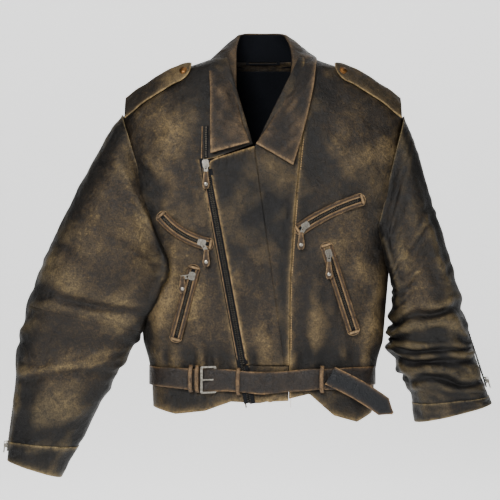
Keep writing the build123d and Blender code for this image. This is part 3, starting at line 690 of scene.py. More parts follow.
def makeLining():
    # Cloth 5 mm inside the leather, in two fronts and a back.
    parts = (
        (
            "liningRight", lambda z: -at(z, "half") * 0.985,
            lambda z: np.interp(-z, [0, 0.152, 0.186, 0.6], [-0.075, -0.030, -0.104, -0.030]), True, (1, 0),
        ),
        (
            "liningLeft", lambda z: np.interp(-z, [0, 0.152, 0.2, 0.6], [0.075, 0.000, 0.0, 0.05]),
            lambda z: at(z, "half") * 0.985, True, (0, 1),
        ),
        ("liningBack", lambda z: -at(z, "half") * 0.985, lambda z: at(z, "half") * 0.985, False, (1, 1)),
    )
    for name, left, right, front, ease in parts:
        p, n, high, _ = panelGrid(left, right, -0.012, -0.566, front, 60, 70, None, [], 31, ease)
        lining = gridObject(name, p - n * 6.5 * mm, liningCloth, "torso", None, None, 0.6 * mm, False, -n)
        if name == "liningBack":
            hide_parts("back_lining")
        if name == "liningRight":
            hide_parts("front_linings", "pocket_bags")


makeTorso()
makeLining()
print("torso ready")


# The overlap panel turns out with the lapel.
def overlapGrid(rows=120, columns=44):
    v = downRows(0, 1, rows, columns)
    u = acrossColumns(0, 1, columns, rows)
    zNominal = -0.157 + (-0.528 + 0.157) * v
    left, right = zipX(zNominal) + halfOpening, foldX(zNominal)
    cornerIn = 0.016 * np.clip(1 - v / 0.055, 0, 1) ** 2  # the round top corner
    left = left + cornerIn
    x = left + (right - left) * u
    z = zNominal - 0.020 * (1 - u) * (1 - v) ** 8
    return x, z, v, left


def makeOverlap():
    x, z, v, left = overlapGrid()
    p = np.stack([x, -torsoDepth(x, z), z], axis=-1)
    height, high = drape(x, z, frontFolds, 12)
    pucker = 1.3 * mm * np.exp(-((v) / 0.05) ** 2) * np.sin(x * 620)
    roll = 1.4 * mm * np.exp(-((x - left) / 0.006) ** 2)  # the turned edge stands up beside the zip
    p[..., 1] -= height + pucker + roll + 0.6 * mm
    out = facing(p, -1)
    wear = (
        1.0 * edgeWear(x - left, 2.0 * mm) + 1.0 * edgeWear(v * 0.37, 2.4 * mm)
        + 0.25 * np.clip(high, 0, 1)
    )
    piece = gridObject(
        "overlapFront", p, shellLeather, "lapel", wear, frontFadeAndShade(x, z) + 0.08 * high - 0.04, 2.0 * mm,
        outward=out,
    )
    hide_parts("front_overlap")
    edge = np.stack([left[:, 0], p[:, 0, 1] - 0.2 * mm, z[:, 0]], axis=1)
    edging = cordOn("overlapPiping", edge, forward, 1.1 * mm, trimLeather, "lapel", 0.8, 0.1)
    row = np.stack([left[:, 3] + 0.006, p[:, 3, 1], z[:, 3]], axis=1)
    stitches("overlapStitches", row, forward, "lapel")
    top = p[0, :, :] + forwardBy(0.3)
    edging = cordOn("overlapTopEdge", top, forward, 1.2 * mm, trimLeather, "lapel", 1.0, 0.3)
    z = np.linspace(-0.122, -0.600, 120)
    x = zipX(z) - halfOpening
    x = np.where(z > -0.186, zipX(-0.186) - halfOpening + (z + 0.186) * 0.02, x)
    row = np.stack([x, -torsoDepth(x, z) - 1.6 * mm, z], axis=1)
    edging = cordOn("frontEdgePiping", row, forward, 1.1 * mm, trimLeather, "torso", 0.6, 0.0)
    z = np.linspace(-0.012, -0.600, 150)
    row = np.stack([seamX(z) + 0.0032, -torsoDepth(seamX(z), z) - 1.0 * mm, z], axis=1)
    stitches("seamStitches", row, forward, "torso", 4.2 * mm, 0.6 * mm)


makeOverlap()
print("overlap ready")


sleeves = {
    "right": {
        "outer": [
            (-243, -98), (-272, -134), (-310, -203), (-350, -285), (-383, -352), (-408, -422),
            (-424, -500), (-434, -570), (-441, -647), (-445, -698),
        ],
        "inner": [
            (-187, -296), (-172, -333), (-164, -350), (-164, -374), (-180, -415), (-205, -469),
            (-232, -512), (-264, -562), (-311, -647), (-355, -727),
        ],
        "depth": [58, 76, 80, 78, 74, 70, 64, 58, 48, 40],
        "middle": [0, 0, 0, 0, 0, 0, 0, 0, 0, 0],
        "reach": [-52, -84, -96, -94, -70, -36, -8, 0, 0, 0],
        "elbowRing": 0.57, "seed": 41, "crumple": 0.8,
    },
    "left": {
        "outer": [
            (243, -100), (266, -155), (288, -232), (310, -300), (331, -372), (350, -446), (364, -500),
            (376, -545), (388, -578), (395, -598),
        ],
        "inner": [
            (197, -298), (206, -335), (216, -368), (224, -395), (226, -425), (221, -466), (219, -500),
            (238, -540), (258, -582), (266, -630),
        ],
        "depth": [60, 78, 86, 86, 84, 80, 76, 70, 64, 58],
        "middle": [0, 0, 0, -1, -2, -5, -8, -12, -15, -17],
        "reach": [-52, -70, -62, -50, -30, -10, 0, 0, 0, 0],
        "elbowRing": 0.56, "seed": 43, "crumple": 1.5,
    },
}


def sleevePoints(side, t, angle):
    # A ring between an outer and an inner edge line at each t; angle 0 is the outer edge, pi the inner one.
    s = sleeves[side]
    outer = smoothKeys(np.array(s["outer"]) * mm, t)
    inner = smoothKeys(np.array(s["inner"]) * mm, t)
    depth, middle, reach = (smoothKeys(np.array(s[k]) * mm, t)[..., 0] for k in ("depth", "middle", "reach"))
    c, sn = np.cos(angle), np.sin(angle)
    c2 = np.sign(c) * np.abs(c) ** 0.86
    s2 = np.sign(sn) * np.abs(sn) ** 0.86
    centre, arm = (outer + inner) / 2, (outer - inner) / 2
    x = centre[..., 0] + arm[..., 0] * c2
    z = centre[..., 1] + arm[..., 1] * c2
    y = middle - depth * s2 + reach * np.clip(-c, 0, 1) ** 2.2
    return np.stack([x, y, z], axis=-1)


def sleeveFolds(side, t, angle):
    # Ring folds at the elbow, long drags from the shoulder, and bunching towards the cuff.
    s = sleeves[side]
    seed, crumple = s["seed"], s["crumple"]
    around = angle * 0.09
    length = t * 0.66
    wobble = 0.012 * waves(around, length, seed + 3, 0.16, 6)
    elbow = np.exp(-((t - 0.66) / 0.16) ** 2)
    rings = waves(
        around * 0.35, length + wobble, seed, 0.050, 9, math.pi / 2, 0.30
    ) * (0.8 + 2.9 * elbow * crumple)
    drags = waves(around, length * 0.4 + wobble, seed + 1, 0.075, 8, 0.25, 0.4) * 1.5
    cloudy = waves(around, length, seed + 2, 0.14, 8) * 1.6
    fine = waves(around, length + wobble, seed + 4, 0.026, 12, 1.1, 0.7) * 0.5
    total = rings + drags + cloudy + fine
    return total * mm, np.clip(total / 4.5, -1, 1)


def sleeveGrid(side, t0, t1, rows, columns=120):
    t = downRows(t0, t1, rows, columns)
    angle = np.linspace(0, 2 * math.pi, columns, endpoint=False)[None, :] * np.ones((rows, 1))
    p = sleevePoints(side, t, angle)
    closedP = np.concatenate([p[:, -1:], p, p[:, :1]], axis=1)
    n = gridNormals(closedP)[:, 1:-1]
    mid = p.mean(axis=1, keepdims=True)
    n = n * np.sign(((p - mid) * n).sum(axis=2, keepdims=True))
    height, high = sleeveFolds(side, t, np.where(angle > math.pi, 2 * math.pi - angle, angle) + 0.0 * t)
    back, _ = sleeveFolds(side, t + 0.013, np.abs(angle - math.pi))
    mix = np.clip(np.sin(angle), 0, 1)
    height = height * mix + back * (1 - mix)
    start = np.clip(t / 0.10, 0, 1)
    keep = np.clip((1.0 - t) / 0.04, 0.25, 1)
    zipStart, sink = (0.70, 2.4) if side == "right" else (0.52, 1.0)
    # smooth under the cuff zip
    flat = np.exp(-((1 - np.cos(angle)) / 0.05)) * np.clip((t - zipStart) / 0.05, 0, 1)
    height = height * start * keep * (1 - flat) - sink * mm * flat
    return p + n * height[..., None], n, high, t, angle


def sleeveToneAndShade(side, t, angle, high):
    # Lighter on the front of the upper sleeve; painted shade darkens the outer edge, where the sleeve turns
    # away, and the inner edge, where it meets the body.
    front = np.clip(np.sin(angle), 0, 1)
    outerEdgeShade = np.exp(-((1 - np.cos(angle)) / 0.30) ** 2)
    innerEdgeShade = np.exp(-((1 + np.cos(angle)) / 0.20) ** 2)
    tone = (
        0.02 + 0.16 * np.exp(-((t - 0.30) / 0.20) ** 2) * front + 0.12 * high - 0.26 * outerEdgeShade
        - 0.12 * innerEdgeShade
    )
    if side == "right":
        return (
            tone - 0.20 * np.exp(-((t - 0.90) / 0.12) ** 2) + 0.14 * np.exp(-((t - 0.72) / 0.10) ** 2) * front
        )
    lit = 0.30 * np.exp(-((t - 0.44) / 0.09) ** 2) * np.exp(-((np.cos(angle) + 0.3) / 0.5) ** 2) * front
    return (
        tone - 0.16 - 0.10 * np.exp(-((t - 0.75) / 0.12) ** 2)
        + lit + 0.12 * np.exp(-((t - 0.96) / 0.05) ** 2) * front
    )


def makeSleeve(side):
    s = sleeves[side]
    split = s["elbowRing"]
    for part, t0, t1, rows in (
        ("Upper", 0.0, split, 130), ("Lower", split - 0.006, 0.935, 100), ("Cuff", 0.925, 1.0, 24)
    ):
        p, n, high, t, angle = sleeveGrid(side, t0, t1, rows)
        seamLine = edgeWear(np.abs(np.mod(angle + 0.4, 2 * math.pi) - 0.4) * 0.07, 2.5 * mm)
        wear = 0.24 * np.clip(high, 0, 1) + 0.12 * seamLine
        if part == "Upper":
            wear = wear + 0.45 * edgeWear(t * 0.66, 2.4 * mm)
            p = p + n * (2.2 * mm * np.exp(-t / 0.012))[..., None]
        if part == "Lower":
            p = p + n * 0.2 * mm
        if part == "Cuff":
            p = p + n * 1.6 * mm
            wear = (
                wear + 0.9 * edgeWear((1 - t) * 0.66, 3.5 * mm)
                + 0.8 * edgeWear((t - 0.925) * 0.66, 2.5 * mm)
            )
        piece = gridObject(
            f"{side}Sleeve{part}", p, sleeveLeather, None, wear, sleeveToneAndShade(side, t, angle, high),
            1.6 * mm, True, n,
        )
        if part == "Upper":
            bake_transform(piece)
            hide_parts(f"{side}_upper_sleeve")
        elif part == "Lower":
            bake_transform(piece)
            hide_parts(f"{side}_lower_sleeve")
        else:
            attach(piece, f"{side}_forearm")
            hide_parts(f"{side}_cuff")
    row = sleeveGrid(side, 0.918, 0.922, 2)[0][0]
    row = np.vstack([row, row[:1]])
    mid = row.mean(axis=0)
    out = row - mid
    out /= np.linalg.norm(out, axis=1, keepdims=True)
    points, way = along(row, 4.2 * mm)
    outward = points - mid
    outward /= np.linalg.norm(outward, axis=1, keepdims=True)
    blocks(f"{side}CuffStitches", points + outward * 1.0 * mm, way, outward,
        (2.9 * mm, 0.8 * mm, 0.7 * mm), threadMaterial, f"{side}_forearm", )


makeSleeve("right")
makeSleeve("left")
print("sleeves ready")


def collarSheet(name, inner, outer, body, columns=70, rows=26, seed=61, bulge=3.0, edge=1.0):
    # A leaf between its fold line and its outer edge, each a list of points, crowned between them.
    s = np.linspace(0, 1, columns)
    a, b = smoothKeys(np.array(inner) * mm, s), smoothKeys(np.array(outer) * mm, s)
    v = np.linspace(0, 1, rows)[:, None, None]
    p = a[None] * (1 - v) + b[None] * v
    n = gridNormals(p)
    mid = np.array([0, 0.01, -0.05])
    n = n * np.sign(((p - mid) * n).sum(axis=2, keepdims=True))
    v2 = v[..., 0] * np.ones((1, columns))
    s2 = s[None, :] * np.ones((rows, 1))
    length = np.linalg.norm(np.diff(a, axis=0), axis=1).sum()
    ripple = waves(s2 * length, v2 * 0.07, seed, 0.07, 8) * 0.9 + waves(
        s2 * length, v2 * 0.07, seed + 1, 0.025, 10
    ) * 0.45
    height = (
        bulge * mm * np.sin(math.pi * v2) ** 0.7 + ripple * mm * np.sin(math.pi * np.clip(v2, 0.05, 0.95))
    )
    p = p + n * height[..., None]
    width = np.linalg.norm(b - a, axis=1)[None, :]
    wear = (
        0.9 * edge * edgeWear((1 - v2) * width, 2.0 * mm) + 0.25 * edgeWear(v2 * width, 5 * mm)
        + 0.3 * np.clip(ripple / 2, 0, 1)
    )
    wear = wear + 1.0 * edge * (edgeWear((1 - s2) * length, 2.2 * mm))
    piece = gridObject(
        name, p, collarLeather, body, wear, 0.06 + 0.06 * ripple + 0.06 * edgeWear(v2 * width, 12 * mm),
        2.2 * mm, False, n,
    )
    rim = p[-1] * 0.93 + p[-3] * 0.07
    rimPath = np.vstack([rim, p[::-1, -1][1:]])
    rimOut = np.vstack([n[-1], n[::-1, -1][1:]])
    edging = cordOn(f"{name}Edge", rimPath, rimOut, 1.0 * mm, collarLeather, body, 0.9, 0.15)
    stitchRow = p[-5] if rows > 8 else p[-2]
    points, way = along(stitchRow, 4.2 * mm)
    outRow = np.stack(
        [np.interp(np.linspace(0, 1, len(points)), np.linspace(0, 1, columns), n[-5, :, i]) for i in range(3)],
        axis=1,
    )
    blocks(f"{name}Stitches", points + outRow * 0.5 * mm, way, outRow,
        (2.9 * mm, 0.8 * mm, 0.7 * mm), threadMaterial, body, )
    return piece


def makeCollar():
    rightInner = [
        (-40, 30, 46), (-46, -6, 18), (-47, -44, -22), (-46, -70, -68), (-38, -88, -112), (-24, -98, -150)
    ]
    rightOuter = [
        (-80, 34, 12), (-92, -6, -4), (-92, -52, -28), (-90, -76, -68), (-90, -91, -112), (-89, -100, -168)
    ]
    leaf = collarSheet("collarRightLeaf", rightInner, rightOuter, "collar_right", seed=61)
    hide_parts("collar_right_leaf")
    leftInner = [
        (38, 30, 46), (48, -6, 18), (50, -44, -18), (36, -72, -72), (10, -88, -120), (-12, -98, -152)
    ]
    leftOuter = [
        (78, 34, 12), (92, -6, 2), (90, -52, -18), (84, -78, -60), (68, -94, -128), (50, -101, -188)
    ]
    leaf = collarSheet("collarLeftLeaf", leftInner, leftOuter, "collar_left", seed=67)
    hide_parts("collar_left_leaf")
    fallInner = [(-41, 29, 46), (-26, 48, 51), (0, 55, 52), (26, 48, 51), (39, 29, 46)]
    fallOuter = [(-79, 36, 12), (-50, 70, 0), (0, 80, -6), (50, 70, 0), (77, 36, 12)]
    fall = collarSheet("collarBackFall", fallInner, fallOuter, "collar_back", seed=71, edge=1.0)
    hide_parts("collar_back_fall")
    # the stand: from the neck seam up to the fold, lining side inwards
    low = [
        (-62, -40, -30), (-84, -4, -10), (-70, 40, -8), (-34, 54, -9), (0, 57, -10), (34, 54, -9),
        (70, 40, -8), (84, -4, -10), (62, -40, -26),
    ]
    high = [
        (-47, -44, -22), (-46, -6, 18), (-40, 30, 46), (-22, 49, 50), (0, 54, 51), (22, 49, 50),
        (38, 30, 46), (48, -6, 18), (50, -44, -18),
    ]
    s = np.linspace(0, 1, 90)
    a, b = smoothKeys(np.array(high) * mm, s), smoothKeys(np.array(low) * mm, s)
    v = np.linspace(0, 1, 16)[:, None, None]
    p = a[None] * (1 - v) + b[None] * v
    n = gridNormals(p)
    n = n * np.sign((p * np.array([1, 1, 0]) * n).sum(axis=2, keepdims=True))
    stand = gridObject(
        "collarStand", p, collarLeather, "torso", np.full(p.shape[:2], 0.2), np.full(p.shape[:2], -0.05),
        1.2 * mm, False, n,
    )
    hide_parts("collar_stand")
    facing = gridObject(
        "collarFacing", p - n * 1.6 * mm, liningCloth, "torso", None, None, 0.6 * mm, False, -n
    )


makeCollar()
print("collar ready")


def makeEpaulette(side):
    sign = -1 if side == "right" else 1
    x1, z1, x2, z2 = 0.238, -0.086, 0.124, -0.016
    columns, rows = 26, 70
    s = downRows(0, 1, rows, columns)
    w = acrossColumns(-1, 1, columns, rows)
    half = np.where(
        s < 0.82, 0.0245 - 0.0045 * s / 0.82, 0.020 * np.sqrt(np.clip(1 - ((s - 0.82) / 0.18) ** 2, 0, 1))
    )
    half = np.maximum(half, 0.0008)
    x = x1 + (x2 - x1) * s
    z = (
        z1 + (z2 - z1) * s + 0.003 + 0.006 * np.sin(math.pi * s)
        - 0.0045 * w**2 * np.clip(half / 0.02, 0, 1)
    )
    lean = math.radians(48)  # the strap tips forwards over the shoulder
    y = -0.034 + w * half * math.cos(lean)
    z = z + w * half * math.sin(lean) + 0.0008 * waves(x, y, 81, 0.03, 8)
    p = np.stack([sign * x, y, z], axis=-1)
    outward = np.array([sign * 0.58 * math.cos(lean), -math.sin(lean), 0.81 * math.cos(lean)])
    outward /= np.linalg.norm(outward)
    up = np.zeros_like(p) + outward
    edge = (1 - np.abs(w)) * half
    wear = (
        0.8 * edgeWear(edge, 1.6 * mm)
        + (0.30 * np.clip((s - 0.45) / 0.3, 0, 1) if side == "right" else 0.1)
    )
    tone = 0.18 * np.clip((s - 0.4) / 0.3, 0, 1) if side == "right" else -0.04 + 0 * s
    piece = gridObject(
        f"{side}Epaulette", p, shellLeather, f"{side}_strap", wear, tone, 2.2 * mm, False, up
    )
    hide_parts(f"{side}_epaulette")
    for k in (-1, 1):
        j = 3 if k < 0 else columns - 4
        stitches(f"{side}EpauletteStitches{'A' if k < 0 else 'B'}", p[:60, j], outward, f"{side}_strap")
    # snap: a domed cap on a flat ring, turned on an axis square to the strap
    up1 = outward
    along1 = np.array([-sign * 0.81, 0, 0.58])
    across1 = np.cross(up1, along1)
    centre = p[int(rows * 0.86), columns // 2 - 3] + up1 * 1.0 * mm
    profile = np.array([
        (8.2, 0.0), (8.2, 0.9), (7.4, 1.5), (6.6, 1.2), (5.8, 2.0), (4.2, 3.0), (2.2, 3.5), (0.02, 3.6)
    ]) * mm
    angle = np.linspace(0, 2 * math.pi, 40, endpoint=False)
    ring = np.cos(angle)[None, :, None] * along1 + np.sin(angle)[None, :, None] * across1
    cap = centre + profile[:, 0][:, None, None] * ring + profile[:, 1][:, None, None] * up1
    piece = gridObject(
        f"{side}Snap", cap, snapBrass, f"{side}_strap", None, None, 0, True, ring + up1 * 0.5
    )
    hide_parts(f"{side}_snap_cap")


makeEpaulette("right")
makeEpaulette("left")
print("epaulettes ready")


def zipChain(name, path, out, body, material=zipBrass, pitch=3.2 * mm, side=0, wide=3.0 * mm):
    # Teeth standing on the tape, one row or two rows that mesh.
    points, way = along(path, pitch / 2 if side == 0 else pitch)
    outs = np.broadcast_to(np.asarray(out, float), points.shape)
    across = np.cross(outs, way)
    if side == 0:
        shift = np.where(np.arange(len(points)) % 2 == 0, 1, -1)[:, None] * 0.9 * mm
    else:
        shift = np.full((len(points), 1), side * 1.7 * mm)
    piece = blocks(
        name, points + across * shift, way, outs, (1.35 * mm if side == 0 else 1.6 * mm, wide, 1.9 * mm),
        material, body,
    )
    return piece


def tapeStrip(name, path, halfLeft, halfRight, y, body):
    path = np.asarray(path, float)
    way = headings(path)
    across = np.cross(np.array([0, -1.0, 0]), way)
    w = np.linspace(-halfLeft, halfRight, 7)[None, :, None]
    p = path[:, None] + across[:, None] * w
    p[..., 1] = path[:, None, 1] + y
    out = facing(p, -1)
    piece = gridObject(name, p, tapeCloth, body, None, None, 0.7 * mm, False, out)
    return piece


def makeMainZip():
    z = np.linspace(-0.176, -0.592, 160)
    line = np.stack([zipX(z), np.full_like(z, zipFront), z], axis=1)
    right = tapeStrip("mainTapeRight", line, 9.5 * mm, 0.0, 0.6 * mm, "torso")
    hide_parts("main_zip_right_half")
    zipChain("mainTeethRight", line + forwardBy(0.4), forward, "torso", side=-1)
    zl = np.linspace(-0.196, -0.527, 140)
    lineLeft = np.stack([zipX(zl), np.full_like(zl, zipFront), zl], axis=1)
    left = tapeStrip("mainTapeLeft", lineLeft, 0.0, 9.5 * mm, 0.6 * mm, "lapel")
    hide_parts("main_zip_left_half")
    zipChain("mainTeethLeft", lineLeft + forwardBy(0.4), forward, "lapel", side=1)
    zs = np.linspace(-0.530, -0.594, 20)
    skirtLine = np.stack([zipX(zs), np.full_like(zs, zipFront), zs], axis=1)
    tapeStrip("skirtTape", skirtLine, 0.0, 9.5 * mm, 0.6 * mm, "torso")
    zipChain("skirtTeeth", skirtLine + forwardBy(0.4), forward, "torso", side=1)
    zu = np.linspace(-0.122, -0.176, 24)
    upper = np.stack(
        [np.full_like(zu, zipX(-0.176)) + 0.004, -torsoDepth(np.full_like(zu, -0.095), zu) - 1.5 * mm, zu],
        axis=1,
    )
    tapeStrip("upperTape", upper, 4 * mm, 2 * mm, -0.2 * mm, "torso")
    zipChain("upperTeeth", upper + forwardBy(1.4), forward, "torso", side=-1)


makeMainZip()

pockets = {  # ends and bow of each zip, the same as the frame's
    "right_chest": ((-96, -322), (-170, -278), 7.0), "left_chest": ((64, -296), (162, -248), -4.0),
    "right_hand": ((-119, -368), (-148, -478), 0.0), "left_hand": ((108, -330), (152, -466), 0.0),
}


def pocketPath(name, extra=0.0, count=60):
    # The pocket's line: an arc through the bowed middle, or a straight run.
    (x1, z1), (x2, z2), bow = pockets[name]
    a, b = np.array([x1, z1], float), np.array([x2, z2], float)
    run = np.linalg.norm(b - a)
    way = (b - a) / run
    side = 1 if x2 > x1 else -1
    normal = side * np.array([way[1], -way[0]])
    t = np.linspace(-extra / run, 1 + extra / run, count)
    flat = a + t[:, None] * (b - a) + normal * (bow * 4 * t * (1 - t))[:, None]
    return np.stack([flat[:, 0], np.full(count, -92.0), flat[:, 1]], axis=1) * mm


def makePocket(name):
    line = pocketPath(name, 3.0)
    way = headings(line)
    across = np.cross(np.array([0, -1.0, 0]), way)
    tape = tapeStrip(f"{name}Tape", line, 4.6 * mm, 4.6 * mm, -0.6 * mm, "torso")
    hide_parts(f"{name}_welt")
    zipChain(f"{name}Teeth", pocketPath(name, -1.0) + forwardBy(1.5), forward, "torso")
    for k, label in ((-1, "A"), (1, "B")):
        # each lip is a folded strip, crowned, its free edge worn pale
        w = np.linspace(0, 1, 9)[None, :, None]
        wide = 6.6 * mm
        start = 3.9 * mm
        p = line[:, None] + across[:, None] * (k * (start + wide * w))
        crown = 2.4 * mm * np.sin(math.pi * np.clip(w[..., 0], 0.02, 1) ** 0.7) + 0.35 * mm * waves(
            line[:, None, 0] * np.ones((1, 9)), line[:, None, 2] * np.ones((1, 9)), 91, 0.02, 8
        )
        p[..., 1] = -0.0922 - 0.5 * mm - crown
        out = facing(p, -1)
        wear = (
            np.exp(-((w[..., 0] - 0.12) / 0.14) ** 2) * 0.8
            + np.exp(-((w[..., 0] - 0.80) / 0.12) ** 2) * 0.3 + 0 * p[..., 0]
        )
        lip = gridObject(
            f"{name}Lip{label}", p, trimLeather, "torso", wear, 0.12 + 0.10 * wear, 1.0 * mm, False, out
        )
        edging = cordOn(
            f"{name}Edge{label}", p[:, 1] + forwardBy(0.4), forward, 0.8 * mm, trimLeather, "torso", 1.0, 0.25
        )
        stitches(f"{name}Stitches{label}", p[:, 6] + forwardBy(0.2), forward, "torso")
    # the outer border runs round both ends
    t = np.linspace(0, math.pi, 16)[1:-1]
    radius = 10.4 * mm
    first, last = line[0], line[-1]
    capEnd = last + across[-1] * radius * np.cos(t)[:, None] + way[-1] * radius * 0.75 * np.sin(t)[:, None]
    capStart = first - across[0] * radius * np.cos(t)[:, None] - way[0] * radius * 0.75 * np.sin(t)[:, None]
    border = np.vstack([
        line + across * radius, capEnd, (line - across * radius)[::-1], capStart,
        (line + across * radius)[:1],
    ])
    border[:, 1] = -0.0928
    edging = cordOn(f"{name}Border", border, forward, 0.8 * mm, trimLeather, "torso", 0.8, 0.05)
    for place, label in ((line[0] - way[0] * 3 * mm, "Start"), (line[-1] + way[-1] * 3 * mm, "End")):
        i = 0 if label == "Start" else -1
        q = place + across[i] * np.linspace(-8, 8, 12)[:, None] * mm
        q[:, 1] = -0.0945
        edging = cordOn(f"{name}Bar{label}", q, forward, 2.6 * mm, trimLeather, "torso", 0.8, 0.1, 0.5)


for name in pockets:
    makePocket(name)
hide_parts("pocket_zip_chains")
print("zips ready")


def makeTab(zipName):
    low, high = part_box(f"{zipName}_tab")
    centreX = (low[0] + high[0]) / 2
    top, bottom = high[2] - 0.001, low[2] + 0.0005
    front = low[1] + 1.8 * mm
    rows, columns = 26, 11
    s = downRows(0, 1, rows, columns)
    w = acrossColumns(-1, 1, columns, rows)
    half = np.interp(s, [0, 0.1, 0.75, 0.93, 1.0], [2.4, 3.0, 5.8, 4.6, 1.8]) * mm
    x = centreX + w * half
    z = top + (bottom - top) * s
    y = front + 0.9 * mm * w**2 - 0.7 * mm * np.sin(math.pi * s)
    p = np.stack([x, y, z], axis=-1)
    out = facing(p, -1)
    wear = edgeWear((1 - np.abs(w)) * half, 1.2 * mm)
    tab = gridObject(
        f"{zipName}TabLeather", p, trimLeather, f"{zipName}_tag", wear, 0.05 + 0 * s, 1.6 * mm, False, out
    )
    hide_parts(f"{zipName}_tab")
    profile = np.array([(4.7, 0.0), (4.6, 0.5), (4.1, 1.0), (3.0, 1.7), (1.6, 2.1), (0.02, 2.2)]) * mm
    angle = np.linspace(0, 2 * math.pi, 28, endpoint=False)
    ring = np.stack([np.cos(angle), 0 * angle, np.sin(angle)], axis=-1)[None]
    centre = np.array([centreX, front - 0.3 * mm, low[2] + 8.2 * mm])
    cap = (
        centre + profile[:, 0][:, None, None] * ring
        + profile[:, 1][:, None, None] * np.array([0, -1.0, 0])
    )
    stud = gridObject(
        f"{zipName}Stud", cap, nickel, f"{zipName}_tag", None, None, 0, True, ring + np.array([0, -0.5, 0])
    )


for zipName in ("main", "right_chest", "left_chest", "right_hand", "left_hand"):
    makeTab(zipName)
print("tabs ready")


belt = {"top": -0.534, "bottom": -0.570, "underGap": 2.4 * mm, "overGap": 5.4 * mm}


def beltSag(x):
    # The strap dips towards the middle of the front.
    return -0.010 * np.exp(-((x - 0.005) / 0.075) ** 2) + 0.008 * np.clip(np.abs(x) / 0.19, 0, 1) ** 2


def beltSurface(x, gap, side=-1):
    half = at(np.full_like(x, beltHeight), "half") + gap * 0.8
    share = np.clip(np.abs(x) / half, 0, 1)
    return side * (0.0925 + gap) * np.clip(1 - share**3.6, 0, 1) ** (1 / 3.6)


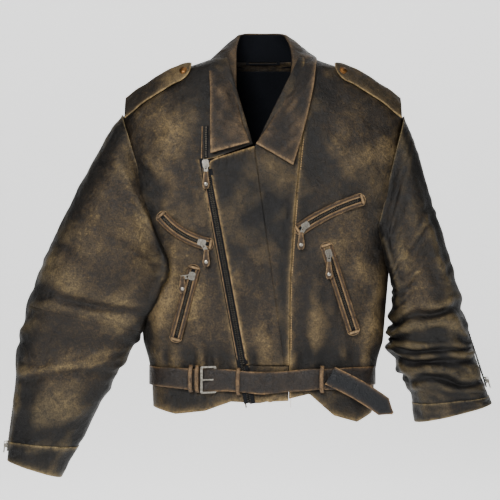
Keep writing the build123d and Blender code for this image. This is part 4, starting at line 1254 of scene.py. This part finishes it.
def makeBelt():
    rows = 17
    w = np.linspace(-1, 1, rows)[:, None]
    for name, x1, x2, gap, node, seed in (
        ("tongueStrap", -0.1985, 0.106, belt["overGap"], "tongue_strap", 101),
        ("buckleStrap", -0.078, 0.1950, belt["underGap"], "buckle_strap", 103),
    ):
        t = np.linspace(0, 1, 190)[None, :]
        if x1 < -0.15:
            x = x1 + (x2 - x1) * t**1.6
        elif x2 > 0.15:
            x = x2 - (x2 - x1) * (1 - t) ** 1.6
        else:
            x = x1 + (x2 - x1) * t
        x = x * np.ones((rows, 1))
        sagNow = beltSag(x) * (0.55 if name == "tongueStrap" else 0.4)
        half = 0.0172 if name == "tongueStrap" else 0.0166
        z = beltHeight + sagNow + w * half + 0.0020 * waves(x, w * 0.02, seed, 0.07, 6)
        y = beltSurface(x, gap) + 0.9 * mm * w**2 + 0.9 * mm * waves(x, w * 0.02, seed + 1, 0.035, 9)
        p = np.stack([x, y, z], axis=-1)
        out = np.zeros_like(p)
        out[..., 0], out[..., 1] = x * 0.8, -0.1
        edge = (1 - np.abs(w)) * half + 0 * x
        wear = 0.75 * edgeWear(edge, 1.3 * mm) * np.clip(
            0.6 + 0.5 * waves(x, w * 0.02, seed + 7, 0.05), 0.15, 1
        ) + 0.05
        tone = 0.02 * waves(x, w * 0.02, seed + 2, 0.04) + 0.25 * edgeWear(edge, 3 * mm)
        piece = gridObject(name, p, beltLeather, "torso", wear, tone, 2.0 * mm, False, out)
        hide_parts(node)
        for j, label in ((2, "Low"), (rows - 3, "High")):
            row = p[j, 10:-6] + forwardBy(0.1)
            seam = stitches(f"{name}Stitches{label}", row, forward, "torso", 4.4 * mm, 0.5 * mm)
    # the back: the same belt, sewn round behind
    t = np.linspace(0, 1, 160)[None, :]
    x = 0.5 - 0.5 * np.cos(math.pi * t)
    x = (-0.1945 + 0.389 * x) * np.ones((rows, 1))
    z = beltHeight + 0.008 + w * strapHalf - 0.006 * (1 - (x / 0.19) ** 2)
    y = beltSurface(x, belt["underGap"] - 1.0 * mm, 1) - 0.8 * mm * w**2
    p = np.stack([x, y, z], axis=-1)
    out = facing(p, 1)
    edge = (1 - np.abs(w)) * strapHalf + 0 * x
    piece = gridObject(
        "backStrap", p, beltLeather, "torso", 1.1 * edgeWear(edge, 1.8 * mm),
        0.2 * edgeWear(edge, 3 * mm), 2.0 * mm, False, out,
    )
    # the hanging tail
    tailRows = 90
    s = acrossColumns(0, 1, tailRows, rows)
    ww = w * np.ones((1, tailRows))
    half = np.where(s < 0.84, strapHalf, strapHalf * (1 - (s - 0.84) / 0.16) + 0.0004)
    length = 0.124
    lean = math.radians(31)
    curve = 0.004 * np.sin(math.pi * s)
    cx = 0.1125 + s * length * math.cos(lean) + curve * math.sin(lean)
    cz = -0.545 - s * length * math.sin(lean) + curve * math.cos(lean)
    bowed = -0.0985 + 0.9 * mm * ww**2 - 2.2 * mm * np.sin(math.pi * s)
    p = np.stack([cx + ww * half * math.sin(lean), bowed, cz + ww * half * math.cos(lean)], axis=-1)
    out = facing(p, -1)
    edge = np.minimum((1 - np.abs(ww)) * half, (1 - s) * length)
    piece = gridObject(
        "beltTail", p, beltLeather, "tail", 0.9 * edgeWear(edge, 1.5 * mm), 0.2 * edgeWear(edge, 3 * mm),
        2.0 * mm, False, out,
    )
    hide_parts("belt_tail")
    for j, label in ((2, "Low"), (rows - 3, "High")):
        stitches(f"beltTailStitches{label}", p[j, 2:76], forward, "tail", 4.4 * mm)
    # punched holes: painted shade inside each hole, drawn as a dark ring of tape cloth on the uncut strap
    spots = [(-0.158, "torso"), (0.020, "torso"), (0.052, "torso")]
    for i, (x, body) in enumerate(spots):
        z0 = beltHeight + 0.55 * float(beltSag(np.array([x]))[0])
        y0 = float(beltSurface(np.array([x]), belt["overGap"])[0])
        t = np.linspace(0, 2 * math.pi, 22)
        q = np.stack(
            [x + 2.2 * mm * np.cos(t), np.full_like(t, y0 - 0.4 * mm), z0 + 2.2 * mm * np.sin(t)], axis=1
        )
        cordOn(f"beltHoleShadeRing{i}", q, forward, 0.8 * mm, tapeCloth, body, 0, 0)
    # loops
    for i, x in enumerate((-0.1235, -0.1125, -0.043, 0.099)):
        sag = 0.55 * float(beltSag(np.array([x]))[0])
        t = np.linspace(0, 1, 44)
        angle = np.pi * (t * 1.1 - 0.05)
        hgt = np.sign(np.cos(angle)) * np.abs(np.cos(angle)) ** 0.35 * 0.0222
        dep = np.clip(np.sin(angle), 0, 1) ** 0.35 * 0.0092
        path = np.stack(
            [np.full_like(t, x) + 0.0008 * np.sin(t * 9), -0.0915 - dep, beltHeight + sag + hgt], axis=1
        )
        outs = np.stack([0 * t, -np.clip(np.sin(angle), 0, 1), np.cos(angle)], axis=1)
        outs /= np.linalg.norm(outs, axis=1, keepdims=True)
        piece = cordOn(f"beltLoop{i}", path, outs, 3.9 * mm, beltLeather, "torso", 0.5, 0.12, 0.30, 12)
        if i == 0:
            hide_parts("belt_loops")


makeBelt()
print("belt ready")


def paint(node, material):
    thing = nodes[node]
    thing.data.materials.clear()
    thing.data.materials.append(material)


for name in ("main", "right_chest", "left_chest", "right_hand", "left_hand"):
    paint(f"{name}_slider", nickel)
    paint(f"{name}_puller", nickel)
for side in ("right", "left"):
    paint(f"{side}_cuff_slider", nickel)
    paint(f"{side}_cuff_puller", nickel)
    paint(f"{side}_cuff_zip", zipBrass if side == "right" else tapeCloth)
for name in ("buckle_frame", "buckle_prong"):
    paint(name, nickel)
paint("hang_loop", liningCloth)
paint("storm_flap", shellLeather)
